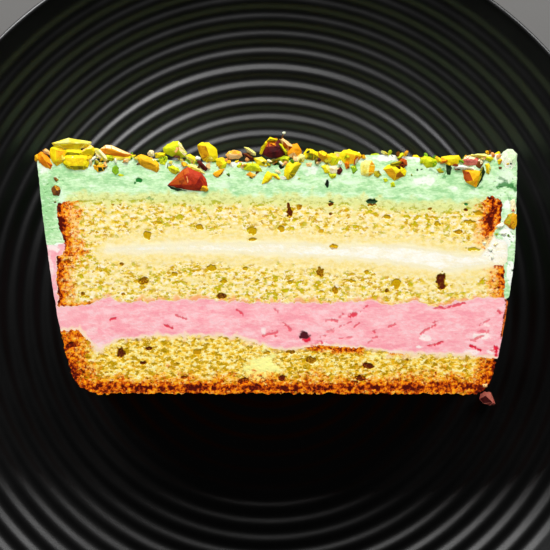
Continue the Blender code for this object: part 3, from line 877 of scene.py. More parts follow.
@dataclass
class LayerBlock:
    """One layer of the slice: its share of the cut face, its walls, and its underside.

    Going down a wall, each row of faces is wider than the one before by row_growth, up to the widest, and
    another row starts only where last_room times its width is left. Drift is how far the walls wander off
    the straight cut, from not at all at the first of its depths to fully at the second.
    """

    layer: Layer
    face: CutFace
    top: float
    under: float
    first_row: float = 0.2
    row_growth: float = 1.22
    widest_row: float = 0.75
    last_room: float = 1.4
    drift: float = 0.45
    drift_depths: tuple[float, float] = (0.5, 9.0)
    flat: np.ndarray = field(init=False)

    def rows(self) -> np.ndarray:
        """Depths of the wall's rows below the cut face, closer together near it."""
        depths, step = [0.0], self.first_row
        while depths[-1] + self.last_room * step < self.top - self.under:
            depths.append(depths[-1] + step)
            step = min(step * self.row_growth, self.widest_row)
        return np.array(depths + [self.top - self.under])

    def build(self) -> tuple[np.ndarray, list, np.ndarray]:
        """Makes the block, and notes in flat which of its points lie on the cut face.

        Returns:
            Its points, its faces, and how far each point is below the cut face.
        """
        number = LAYERS.index(self.layer)
        mine = self.face.triangles[self.face.shares == number]
        used, compact = np.unique(mine, return_inverse=True)
        mine = compact.reshape(-1, 3)
        plan = self.face.points[used]
        edges = rim_edges(mine)
        outer = {tuple(e) for e in rim_edges(self.face.triangles).tolist()}
        bare = np.array([(int(used[a]), int(used[b])) in outer for a, b in edges])
        exposed = np.zeros(len(plan), bool)
        exposed[edges[bare].ravel()] = True
        depths = self.rows()
        columns, points, below = {}, [plan], [np.zeros(len(plan))]
        total = len(plan)
        for vertex in np.unique(edges):
            steps = depths[1:] if exposed[vertex] else depths[-1:]
            columns[int(vertex)] = [int(vertex)] + list(range(total, total + len(steps)))
            points.append(np.repeat(plan[vertex:vertex + 1], len(steps), axis=0))
            below.append(steps)
            total += len(steps)
        faces = mine.tolist()
        for a, b in edges.tolist():
            left, right = columns[a], columns[b]
            if len(left) == len(right):
                faces += [[right[i], left[i], left[i + 1], right[i + 1]] for i in range(len(left) - 1)]
            else:
                faces.append([right[0]] + left + right[:0:-1])
        plan, below = np.concatenate(points), np.concatenate(below)
        faces += self.underside([[columns[int(v)][-1] for v in loop] for loop in chain(edges)], plan)
        self.flat = np.zeros(len(plan))
        self.flat[:len(used)] = ~exposed
        stack = np.column_stack((plan[:, 0], below))
        seeds = (Seed.DRIFT, Seed.DRIFT_DOWN)
        shift = np.column_stack([waves(stack, seed, (1.0, 5.0), (0.4, 1.7)) for seed in seeds])
        plan_below = plan + self.drift * fade(below, *self.drift_depths)[:, None] * shift
        pressed = Plate().surface(np.hypot(*plan.T)) + PRESS_GAP
        return np.column_stack((plan_below, np.maximum(self.top - below, pressed))), faces, below

    def underside(self, loops: list, points: np.ndarray) -> list:
        """The faces that close the block from below, from the loops of its lowest points."""
        faces = []
        for loop in loops:
            result = delaunay_2d_cdt([Vector(p) for p in points[loop]], [], [list(range(len(loop)))], 1, 1e-7)
            origin = [int(which[0]) for which in result[3]]
            faces += [[loop[origin[i]] for i in triangle[::-1]] for triangle in result[2]]
        return faces


class Relief:
    """The Geometry Nodes trees that give the layers their relief."""

    inputs = {"Cell": "Float", "Depth": "Float", "Roughness": "Float", "Material": "Material"}
    squash = (0.62, 1.0, 0.62)
    bend = (1.3, 1.1, 1.3)
    # For small and for middling cells: their size, and how wide the pit in each may open.
    pit_kinds = ((1.0, 0.46), (2.0, 0.42))
    pit_wall = 0.22

    def crumb(self) -> NodeTree:
        """Open crumb: small and middling pits, and uneven gaps between them."""
        steps, start, end = geometry_tree("Crumb", **self.inputs)
        place = steps.vector("MULTIPLY", steps.place(), self.squash)
        bend = steps.vector("SUBTRACT", steps.noise(place, 1.3, 3.0, 0.65).outputs[1], (0.5, 0.5, 0.5))
        place = steps.vector("MULTIPLY_ADD", bend, self.bend, place)
        openings = steps.step(steps.cloud(place, 0.95), 0.46, 0.72)
        for size, spread in self.pit_kinds:
            scale = steps.math("DIVIDE", 1.0 / size, start.outputs["Cell"])
            cells = steps.add("ShaderNodeTexVoronoi", {"Vector": place, "Scale": scale})
            radius = steps.math("MULTIPLY", steps.part(cells.outputs["Color"], 0), spread)
            pit = steps.step(cells.outputs["Distance"], radius, steps.math("SUBTRACT", radius, self.pit_wall))
            openings = steps.math("MAXIMUM", openings, pit)
        self.finish(steps, start, end, openings, steps.cloud(place, 0.45, 2.0, 0.5))
        return steps.tree

    def ice(self) -> NodeTree:
        """Ice cream: soft swells and small pits."""
        steps, start, end = geometry_tree("Ice", **self.inputs)
        place = steps.place()
        swells = steps.cloud(place, steps.math("DIVIDE", 1.0, start.outputs["Cell"]), 3.0, 0.55)
        pits = steps.step(steps.cloud(place, 1.4, 2.0, 0.6), 0.6, 0.74)
        self.finish(steps, start, end, pits, swells)
        return steps.tree

    def finish(self, steps: Steps, start: Node, end: Node, openings: Socket, swells: Socket) -> None:
        """Keeps the pores as a mark on the mesh and moves the surface along its normals.

        Args:
            steps: the tree's nodes.
            start: its input node.
            end: its output node.
            openings: where the surface is open, from 0 to 1, before the mesh's own grain.
            swells: noise that lifts and lowers it.
        """
        pore = steps.math("MULTIPLY", openings, steps.mark("grain"))
        keep = {"Geometry": start.outputs["Geometry"], "Name": "pore", "Value": pore}
        store = "GeometryNodeStoreNamedAttribute"
        kept = steps.add(store, keep, data_type="FLOAT", domain="POINT").outputs[0]
        swell = steps.math("MULTIPLY", steps.math("SUBTRACT", swells, 0.5), start.outputs["Roughness"])
        sink = steps.math("MULTIPLY", pore, start.outputs["Depth"])
        sink = steps.math("ADD", sink, steps.mark("carve"))
        rise = steps.math("MULTIPLY", steps.math("SUBTRACT", swell, sink), steps.mark("loose"))
        flat = steps.mark("flat")
        calmer = steps.math("SUBTRACT", 1.0, steps.math("MULTIPLY", flat, 1.0 - FACE_RELIEF))
        rise = steps.math("MULTIPLY", rise, calmer)
        feeds = {0: flat, 4: steps.add("GeometryNodeInputNormal").outputs[0], 5: (0.0, 0.0, 1.0)}
        normal = steps.add("ShaderNodeMix", feeds, data_type="VECTOR").outputs[1]
        steps.move(kept, steps.scaled(normal, steps.math("MULTIPLY", rise, MM)), start, end)


@dataclass(frozen=True)
class SpongeFinish:
    """The colours of one sponge, as screen colours; several are painted shade in its pores and hollows."""

    flake: Screen = (255, 243, 212)
    butter: Screen = (250, 224, 124)
    deep: Screen = (236, 200, 56)
    # Painted shade in the pores of the crumb: olive and amber, and the next colour in the deepest pores;
    # olive also starts the painted shade in the hollows.
    olive: Screen = (196, 180, 0)
    amber: Screen = (208, 162, 0)
    deep_pore_shadow: Screen = (122, 92, 0)
    # Painted shade in the large hollows, down to nearly black in the deepest.
    hole: Screen = (198, 142, 4)
    pit: Screen = (86, 26, 6)
    smear: Screen = (248, 228, 158)
    pale: Screen = (255, 249, 152)
    milk: Screen = (252, 240, 200)
    lime: Screen = (228, 230, 148)
    # Painted shade in the pores where the green ice cream soaked in.
    moss: Screen = (188, 190, 56)
    blush: Screen = (248, 164, 112)
    gold: Screen = (252, 176, 20)
    warm: Screen = (255, 192, 64)
    crust: Screen = (236, 112, 4)
    bark: Screen = (150, 40, 0)
    char: Screen = (80, 10, 2)

    def crumb(self, steps: Steps, place: Socket, pore: Socket) -> Socket:
        """Pale flakes in butter-yellow crumb, with painted shade in the pores: gold and olive, darker in the
        deepest.
        """
        grit = steps.cloud(steps.vector("MULTIPLY", place, KNIFE_PULL), 1.15, 3.0, 0.6)
        hue = steps.cloud(place, 0.55, 2.0, 0.6)
        colour = steps.scale(grit, (0.36, self.deep), (0.46, self.butter), (0.6, self.flake))
        # Painted shade in the pores, from olive to amber, where the relief is only shallow.
        gap = steps.blend(steps.step(hue, 0.42, 0.58), self.olive, self.amber)
        colour = steps.blend(steps.step(pore, 0.08, 0.52), colour, gap)
        # Darker painted shade in the deepest pores.
        return steps.blend(steps.step(pore, 0.98, 1.25), colour, self.deep_pore_shadow)

    def browned(self, steps: Steps, place: Socket, pore: Socket, colour: Socket) -> Socket:
        """The crumb with its browned crust, in grains from gold to nearly black, darker in pores and hollows
        as painted shade.
        """
        mark = steps.mark("crust")
        toast = steps.math("MULTIPLY_ADD", steps.cloud(place, 1.05, 3.0, 0.7), 2.8, -1.16)
        # Painted shade: darker crust grains in the pores.
        toast = steps.math("MULTIPLY_ADD", pore, 0.3, toast)
        toast = steps.math("MULTIPLY_ADD", mark, 0.3, toast)
        toast = steps.math("MULTIPLY_ADD", steps.step(mark, 0.85, 1.2), 0.4, toast)
        # Painted shade: darker crust grains in the hollows.
        toast = steps.math("MULTIPLY_ADD", steps.mark("hole"), 0.4, toast)
        crust = steps.scale(toast, (0.12, self.gold), (0.42, self.crust), (0.76, self.bark), (1.0, self.char))
        edge = steps.stirred(mark, steps.cloud(place, 1.7, 3.0, 0.7), 2.4)
        colour = steps.blend(steps.step(mark, 0.0, 0.5, 0.0, 0.6), colour, self.warm, "MULTIPLY")
        share = steps.math("MULTIPLY", steps.step(edge, 0.2, 0.62), steps.step(mark, 0.02, 0.2))
        return steps.blend(share, colour, crust)

    def material(self, name: str) -> Material:
        """Open crumb, browned at its edges, with what soaked in from the ice creams beside it, and painted
        shade in its pores and hollows.
        """
        material, steps, shader = new_material(name)
        place = steps.place()
        fine = steps.cloud(place, 2.6)
        pore = steps.stirred(steps.mark("pore"), fine, 0.8)
        colour = self.crumb(steps, place, pore)
        colour = steps.blend(steps.math("MULTIPLY", steps.mark("smear"), 0.72), colour, self.smear)
        pale = steps.stirred(steps.mark("pale"), fine, 1.2)
        colour = steps.blend(steps.step(pale, 0.25, 0.95), colour, self.pale)
        # Painted shade in the pores of the soaked crumb.
        soaked = steps.blend(steps.step(pore, 0.08, 0.5), self.lime, self.moss)
        colour = steps.blend(steps.mark("lime"), colour, soaked)
        colour = steps.blend(steps.mark("blush"), colour, self.blush)
        colour = steps.blend(steps.mark("milk"), colour, self.milk)
        # Painted shade in the large hollows.
        dark = steps.stirred(steps.mark("hole"), fine, 1.1)
        hole = steps.scale(dark, (0.2, self.olive), (0.62, self.hole), (0.95, self.pit))
        colour = steps.blend(steps.step(steps.mark("hole"), 0.05, 0.35), colour, hole)
        colour = self.browned(steps, place, pore, colour)
        set_surface(shader, colour, 0.9, 0.1, (0.1, 0.001, (1.0, 0.6, 0.25)))
        relief(steps, shader, steps.cloud(place, 3.2, 3.0, 0.7), 0.04)
        return material


@dataclass(frozen=True)
class IceFinish:
    """The colours of one ice cream, as screen colours."""

    body: Screen
    # Deep is a deeper tone of the cream, and also painted shade in its pits and, in the vanilla one, over its
    # left half.
    deep: Screen
    pale: Screen
    frost: Screen
    # Stain is the real colour of tears and veins, and painted shade in the green one's dark pits and the
    # vanilla one's hollows.
    stain: Screen
    tint: Screen
    crumbs: Screen
    # Core is painted shade in the green one's deepest pits, and the berry's own dark red in the pink one.
    core: Screen
    toast: Screen = (226, 110, 20)
    char: Screen = (110, 20, 8)

    def frozen(self, steps: Steps, place: Socket) -> Socket:
        """Cream that the knife dragged, with deeper streaks, patches of frost and painted shade in its pits.
        """
        dragged = steps.vector("MULTIPLY", place, (0.4, 1.0, 0.7))
        fine = steps.cloud(dragged, 2.2)
        both = steps.math("MULTIPLY_ADD", fine, 0.36, steps.cloud(dragged, 0.55, 4.0, 0.62))
        colour = steps.scale(both, (0.53, self.pale), (0.67, self.body), (0.84, self.deep))
        deep = steps.math("MULTIPLY", steps.mark("deep"), steps.step(fine, 0.25, 0.7))
        colour = steps.blend(deep, colour, self.deep)
        frost = steps.stirred(steps.mark("frost"), fine, 0.9)
        colour = steps.blend(steps.step(frost, 0.25, 0.85), colour, self.frost)
        # Painted shade in the pits.
        colour = steps.blend(steps.math("MULTIPLY", steps.mark("pore"), 0.6), colour, self.deep)
        soaked = steps.mark("lime")
        edge = steps.step(steps.stirred(soaked, fine, 0.7), 0.0, 1.0)
        edge = steps.math("MULTIPLY", edge, steps.step(soaked, 0.0, 0.25))
        edge = steps.math("MAXIMUM", edge, steps.step(soaked, 0.75, 1.0))
        return steps.blend(edge, colour, self.tint)

    def material(self, name: str) -> Material:
        """Frozen cream, with crumbs from the sponge beside it, stained tears, painted shade in pits and
        hollows, and a browned wall.
        """
        material, steps, shader = new_material(name)
        place = steps.place()
        colour = self.frozen(steps, place)
        grit = steps.cloud(steps.vector("MULTIPLY", place, KNIFE_PULL), 1.15)
        crumbs = steps.math("MULTIPLY", steps.step(grit, 0.5, 0.6), steps.step(steps.mark("lime"), 0.4, 0.85))
        colour = steps.blend(steps.math("MULTIPLY", crumbs, 0.4), colour, self.crumbs)
        # Tears and veins take their real stain; dark pits and hollows take the same colour as painted shade,
        # and the deepest pits the core colour.
        colour = steps.blend(steps.mark("hole"), colour, self.stain)
        colour = steps.blend(steps.mark("core"), colour, self.core)
        grain = steps.cloud(place, 1.3, 3.0, 0.7)
        toast = steps.step(steps.stirred(steps.mark("toast"), grain, 2.0), 0.4, 0.7)
        brown = steps.blend(steps.step(grain, 0.4, 0.65), self.toast, self.char)
        colour = steps.blend(toast, colour, brown)
        set_surface(shader, colour, 0.55, 0.2, (0.2, 0.0015, (1.0, 0.8, 0.7)))
        relief(steps, shader, steps.cloud(place, 2.4), 0.05)
        return material


GREEN_ICE = IceFinish(
    body=(207, 242, 188), deep=(162, 216, 150), pale=(228, 251, 218), frost=(250, 255, 240),
    stain=(10, 120, 34), tint=(228, 233, 154), crumbs=(166, 166, 26), core=(6, 30, 4),
)
CREAM_ICE = IceFinish(
    body=(254, 247, 228), deep=(249, 238, 206), pale=(255, 252, 240), frost=(255, 253, 244),
    stain=(200, 140, 40), tint=(252, 240, 200), crumbs=(252, 238, 190), core=(150, 90, 20),
)
PINK_ICE = IceFinish(
    body=(255, 184, 190), deep=(252, 160, 172), pale=(255, 204, 208), frost=(255, 230, 226),
    stain=(226, 12, 56), tint=(255, 222, 190), crumbs=(255, 228, 200), core=(78, 0, 16),
)
TOP_SPONGE = SpongeFinish()
# The base sponge's olive is painted shade in its pores as well.
BASE_SPONGE = SpongeFinish(
    flake=(255, 244, 178), butter=(250, 212, 76), deep=(234, 172, 14), olive=(186, 146, 0),
    blush=(255, 222, 176),
)


@dataclass
class Skin:
    """A layer's points, and what its marks are worked out from.

    Below is how far each point is below the cut face, shown is 1 on the cut face and 0 well below it, gaps is
    the distance to each other layer, and uneven is a random factor on those distances.
    """

    plan: np.ndarray
    below: np.ndarray
    shown: np.ndarray
    gaps: dict[Layer, np.ndarray]
    uneven: np.ndarray

    def near(self, other: Layer, end: float, start: float = 0.0) -> np.ndarray:
        """From 1 up to a distance from another layer to 0 at the end, at an uneven border."""
        return 1.0 - fade(self.gaps[other] * self.uneven, start, end)

    def past(self, first: float, last: float, wander: np.ndarray | float = 0.0) -> np.ndarray:
        """From 0 at the first pixel column of the picture to 1 at the last, moved by some millimetres."""
        return fade(self.plan[:, 0] + wander, *spot_span(first, last))


class Slab:
    """The six layers of the slice."""

    slots = {
        Layer.GREEN: "green_ice_cream", Layer.TOP: "sponge_cake", Layer.CREAM: "vanilla_ice_cream",
        Layer.MIDDLE: "sponge_cake", Layer.PINK: "strawberry_ice_cream", Layer.BASE: "sponge_cake",
    }
    finishes = {
        Layer.GREEN: GREEN_ICE, Layer.TOP: TOP_SPONGE, Layer.CREAM: CREAM_ICE,
        Layer.MIDDLE: TOP_SPONGE, Layer.PINK: PINK_ICE, Layer.BASE: BASE_SPONGE,
    }
    crumb_cell = 0.72
    base_cell = 0.8
    crumb_relief = {"Depth": 0.15, "Roughness": 0.3}
    ice_relief = {"Cell": 2.2, "Depth": 0.25, "Roughness": 0.18}
    # Depths below the cut face, in millimetres: where its own marks end, and where all relief ends.
    shown_depths = (0.3, 2.5)
    still_depths = (22.4, 23.1)
    # Pixel columns, and rows where named so, of the reference picture between which a mark comes or goes.
    west_frost = (70, 115)
    left_leg = (60, 70)
    right_leg = (476, 492)
    leg_edges = (64, 488)
    # Where the painted shade over the vanilla's left half fades out.
    cream_shade = (240, 340)
    cream_rough = (462, 486)
    brown_rows = (344, 297)
    brown_from = 480

    def __init__(self, section: Section) -> None:
        """Takes the section and lays its cut face."""
        self.section = section
        self.face = CutFace(section)
        trees = Relief()
        self.crumb = trees.crumb()
        self.ice = trees.ice()

    def marks(self, layer: Layer, plan: np.ndarray, below: np.ndarray) -> Marks:
        """The numbers that a layer's points carry for its relief and its colours.

        Args:
            layer: the layer.
            plan: the plan of each point.
            below: how far each point is below the cut face.

        Returns:
            The numbers of each mark, by name.
        """
        gaps = {other: self.face.gap(layer, other, plan) for other in LAYERS if other is not layer}
        uneven = waves(plan, Seed.SOAKED, (0.5, 2.2), (0.3, 0.8), base=1.0)
        skin = Skin(plan, below, 1.0 - fade(below, *self.shown_depths), gaps, uneven)
        makers = {Layer.GREEN: self.green_marks, Layer.CREAM: self.cream_marks, Layer.PINK: self.pink_marks}
        marks = makers[layer](skin) if layer in makers else self.sponge_marks(layer, skin)
        nearest = np.min(list(gaps.values()), axis=0)
        marks["loose"] = fade(nearest, 0.0, 0.6) * (1.0 - fade(below, *self.still_depths))
        return marks

    def pink_marks(self, skin: Skin) -> Marks:
        """The marks of the strawberry ice cream: tears, a berry, frost, and what its neighbours left."""
        plan = skin.plan
        tears = strongest(TEARS, plan, Seed.TEARS, "red") * skin.shown
        berry = strongest(BERRY, plan, Seed.BERRY) * skin.shown
        red = strongest(BERRY_RED, plan, Seed.BERRY_RED) * skin.shown
        west = 1.0 - skin.past(*self.west_frost, ripple(plan, 3.0, Seed.WEST_FROST))
        frost = np.maximum(strongest(PINK_FROST, plan, Seed.PINK_FROST), 0.3 * west)
        under_sponge = 0.7 - fade(skin.gaps[Layer.MIDDLE], 0.0, 0.5)
        return {
            "carve": TEAR_DEPTH * tears + BERRY_DEPTH * berry,
            "hole": np.maximum(tears, red),
            "core": berry,
            "toast": self.browned_wall(plan),
            "frost": frost,
            "deep": 0.7 * fade(ripple(plan * (0.4, 1.0), 1.6, Seed.DRAGGED), 0.3, 0.8),
            "lime": np.maximum(skin.near(Layer.BASE, 0.9), under_sponge),
            "grain": 0.2 + 0.7 * frost,
        }

    def green_marks(self, skin: Skin) -> Marks:
        """The marks of the pistachio ice cream: frost, deeper streaks, specks partly of painted shade, veins
        and rough legs.
        """
        plan = skin.plan
        lime = skin.near(Layer.TOP, 2.7) * skin.past(*self.left_leg) * (1.0 - skin.past(*self.right_leg))
        frost = strongest(GREEN_FROST, plan, Seed.GREEN_FROST) * (1.0 - 0.8 * fade(skin.below, 1.0, 4.0))
        dark = strongest(SPECKS, plan, Seed.SPECKS, "dark") * skin.shown
        veins = strongest(VEINS, plan, Seed.VEINS, "red") * skin.shown
        low, high = spot_span(*self.leg_edges)
        legs = (plan[:, 0] < low) | (plan[:, 0] > high)
        return {
            "lime": lime,
            "frost": frost,
            "deep": strongest(GREEN_DEEP, plan, Seed.GREEN_DEEP),
            "carve": strongest(SPECKS, plan, Seed.SPECKS, "depth") * skin.shown,
            # Painted shade in the dark pits, nearly black at their cores, and the real green of the veins.
            "hole": np.maximum(np.clip(dark, 0.0, 1.0), veins),
            "core": np.clip(2.5 * dark - 2.5, 0.0, 1.0),
            "grain": 0.25 + 0.9 * frost + 1.6 * legs + 0.8 * lime,
        }

    def cream_marks(self, skin: Skin) -> Marks:
        """The marks of the vanilla ice cream: painted shade over its left half and in its hollows, and a
        rough right end.
        """
        plan = skin.plan
        hollows = strongest(HOLLOWS, plan, Seed.HOLLOWS) * skin.shown
        border = np.minimum(skin.gaps[Layer.TOP], skin.gaps[Layer.MIDDLE])
        return {
            "lime": 1.0 - fade(border * skin.uneven, 0.0, 0.9),
            "frost": 0.2 * np.ones(len(plan)),
            # Painted shade over the left half.
            "deep": 1.0 - skin.past(*self.cream_shade, ripple(plan, 4.0, Seed.SHADE) * 4),
            "carve": hollows * 0.3,
            # Painted shade in the hollows.
            "hole": 0.5 * hollows,
            "grain": 0.1 + 1.2 * skin.past(*self.cream_rough, 2.0 * ripple(plan, 1.5, Seed.ROUGH_END)),
        }

    def browned_wall(self, plan: np.ndarray) -> np.ndarray:
        """Where the strawberry ice cream's right wall took up the crust, from 0 to 1."""
        height = plan[:, 1]
        low, high = (spot(0, row)[1] for row in self.brown_rows)
        there = fade(height, low, low + 3.0) * (1.0 - fade(height, high - 1.0, high))
        there = there * (plan[:, 0] > spot(self.brown_from, 0)[0])
        return there * (1.0 - fade(self.section.from_wall(plan), 0.1, 1.1))

    def sponge_marks(self, layer: Layer, skin: Skin) -> Marks:
        """The marks of a sponge: its crust, its hollows with their painted shade, and what soaked in from the
        ice creams.
        """
        plan, base = skin.plan, layer is Layer.BASE
        crust = strongest(CRUSTS[layer], plan, Seed.CRUSTS)
        walls = fade(skin.below, 0.2, 1.2) * (1.0 - fade(self.section.from_wall(plan), 0.2, 0.8))
        plain = 1.0 - 0.9 * fade(crust, 0.1, 0.6)
        smear = skin.near(Layer.CREAM, 4.9, 1.6) * (not base)
        lime = skin.near(Layer.GREEN, 2.2) * plain
        # How strongly the hollows are darkened: painted shade.
        dark = strongest(HOLLOWS, plan, Seed.HOLLOWS, "dark") * skin.shown
        grain = (1.15 if base else 1.0) * (1.0 - 0.85 * smear) * (1.0 - 0.1 * lime)
        return {
            "crust": np.maximum(crust, walls),
            "smear": smear,
            "milk": skin.near(Layer.CREAM, 1.3),
            "blush": skin.near(Layer.PINK, 1.2) * plain * fade(ripple(plan, 0.9, Seed.BLUSH), -0.7, 0.6),
            "lime": lime,
            "pale": 0.7 * strongest(PALE_BASE, plan, Seed.PALE) * base,
            "carve": HOLLOW_DEPTH * strongest(HOLLOWS, plan, Seed.HOLLOWS, "depth") * skin.shown,
            "hole": np.clip(dark, 0.0, 1.0),
            "grain": grain * (1.0 - fade(strongest(HOLLOWS, plan, Seed.HOLLOWS) * skin.shown, 0.1, 0.6)),
        }

    def build(self) -> list[Object]:
        """Makes, dresses and hands over every layer, and returns them."""
        pieces = []
        for layer in LAYERS:
            low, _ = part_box(layer.value)
            block = LayerBlock(layer, self.face, top=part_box(Layer.CREAM.value)[1].z / MM, under=low.z / MM)
            points, faces, below = block.build()
            marks = self.marks(layer, points[:, :2], below)
            marks["flat"] = block.flat
            piece = new_object(layer.name.lower() + "_layer", points, faces, marks)
            name = self.slots[layer] + "_" + layer.name.lower()
            material = self.finishes[layer].material(name)
            if layer in SPONGES:
                cell = self.base_cell if layer is Layer.BASE else self.crumb_cell
                grow(piece, self.crumb, **self.crumb_relief, Cell=cell, Material=material)
            else:
                grow(piece, self.ice, **self.ice_relief, Material=material)
            hand_over(piece, self.slots[layer], layer.value)
            pieces.append(piece)
        return pieces


@dataclass
class Plate:
    """The matte dark plate with its circles of ribs, in millimetres.

    It is flat up to one radius and rises from there to its lip. Its ribs lie a pitch apart. Sheen is the
    range of its glaze's roughness.
    """

    radius: float = 102.4
    height: float = 18.0
    foot: float = 62.0
    floor: float = 6.0
    flat: float = 68.0
    lip: float = 1.0
    lip_turn: tuple[float, float] = (110.0, -60.0)
    bend: float = 1.5
    skirt: float = 1.8
    skirt_bend: float = 1.7
    first_rib: float = 5.6
    rib_pitch: float = 4.6
    last_rib: float = 97.6
    rib_depth: float = 0.7
    ring_step: float = 0.42
    around: int = 192
    glaze: Screen = (2, 2, 2)
    glaze_fleck: Screen = (5, 5, 5)
    sheen: tuple[float, float] = (0.37, 0.42)

    def surface(self, radius: np.ndarray) -> np.ndarray:
        """The height of the rib crests at each radius."""
        rise = np.clip((radius - self.flat) / (self.radius - self.flat), 0.0, 1.0)
        return self.floor + (self.height - self.floor) * rise ** self.bend

    def ribs(self) -> NodeTree:
        """The tree that sinks the troughs between the ribs' crests."""
        inputs = dict.fromkeys(("First", "Pitch", "Last", "Depth"), "Float")
        steps, start, end = geometry_tree("Ribs", **inputs, Material="Material")
        flat = steps.vector("MULTIPLY", steps.place(), (1.0, 1.0, 0.0))
        radius = steps.add("ShaderNodeVectorMath", {0: flat}, operation="LENGTH").outputs["Value"]
        travelled = steps.math("SUBTRACT", radius, start.outputs["First"])
        turn = steps.math("DIVIDE", travelled, start.outputs["Pitch"])
        wave = steps.math("COSINE", steps.math("MULTIPLY", turn, 2.0 * math.pi))
        trough = steps.math("MULTIPLY", steps.math("SUBTRACT", 1.0, wave), 0.5)
        within = steps.math("LESS_THAN", radius, start.outputs["Last"])
        sink = steps.math("MULTIPLY", steps.math("MULTIPLY", trough, within), start.outputs["Depth"])
        sink = steps.math("MULTIPLY", steps.math("MULTIPLY", sink, steps.mark("inner")), -MM)
        offset = steps.add("ShaderNodeCombineXYZ", {2: sink}).outputs[0]
        steps.move(start.outputs["Geometry"], offset, start, end)
        return steps.tree

    def profile(self) -> tuple[np.ndarray, np.ndarray]:
        """The turned section from the middle of the upper face, round the rim, to the middle of the foot.

        Returns:
            Radius and height of each point, and whether it is on the upper face.
        """
        upper = np.arange(0.0, self.radius - self.lip, self.ring_step)[1:]
        inner = np.column_stack((upper, self.surface(upper)))
        angle = np.linspace(*(math.radians(turn) for turn in self.lip_turn), 12)
        middle = (self.radius - self.lip, self.height - self.lip)
        lip = np.column_stack((middle[0] + self.lip * np.cos(angle), middle[1] + self.lip * np.sin(angle)))
        back = np.linspace(self.radius - 2.0, self.foot + 3.0, 40)
        slope = (back - back[-1]) / (back[0] - back[-1])
        under = self.skirt + (lip[-1, 1] - 1.0 - self.skirt) * slope ** self.skirt_bend
        foot = [(self.foot + 1.2, 0.4)] + [(self.foot * share, 0.0) for share in (1.0, 0.6, 0.2)]
        line = np.vstack((inner, lip, np.column_stack((back, under)), foot))
        return line, np.arange(len(line)) < len(inner)

    def material(self) -> Material:
        """Matte black glaze with a soft sheen and a faint speckle."""
        material, steps, shader = new_material("plate_glaze")
        place = steps.place()
        speckle = steps.cloud(place, 1.8, 3.0, 0.7)
        cloud = steps.cloud(place, 0.05, 3.0, 0.6)
        dark = steps.blend(steps.step(speckle, 0.35, 0.75), self.glaze, self.glaze_fleck)
        set_surface(shader, dark, steps.step(cloud, 0.3, 0.7, *self.sheen), 0.4)
        relief(steps, shader, speckle, 0.02)
        return material

    def build(self) -> Object:
        """Turns the plate, hands it over and returns it."""
        line, inner = self.profile()
        angles = np.arange(self.around) * 2 * math.pi / self.around
        ring = np.column_stack((np.cos(angles), np.sin(angles)))
        rings = [np.column_stack((ring * r, np.full(self.around, z))) for r, z in line]
        points = np.concatenate(rings + [np.array([[0.0, 0.0, self.floor], [0.0, 0.0, 0.0]])])
        n, count = self.around, len(line)
        faces = [[count * n, i, (i + 1) % n] for i in range(n)]
        for row in range(count - 1):
            a, b = row * n, (row + 1) * n
            faces += [[a + i, b + i, b + (i + 1) % n, a + (i + 1) % n] for i in range(n)]
        last = (count - 1) * n
        faces += [[last + (i + 1) % n, last + i, count * n + 1] for i in range(n)]
        inner = np.concatenate((np.repeat(inner, n).astype(float), (1.0, 0.0)))
        piece = new_object("plate_ribbed", points, faces, {"inner": inner})
        grow(piece, self.ribs(), First=self.first_rib, Pitch=self.rib_pitch, Last=self.last_rib,
             Depth=self.rib_depth, Material=self.material())
        hand_over(piece, "plate_glaze", "plate")
        return piece


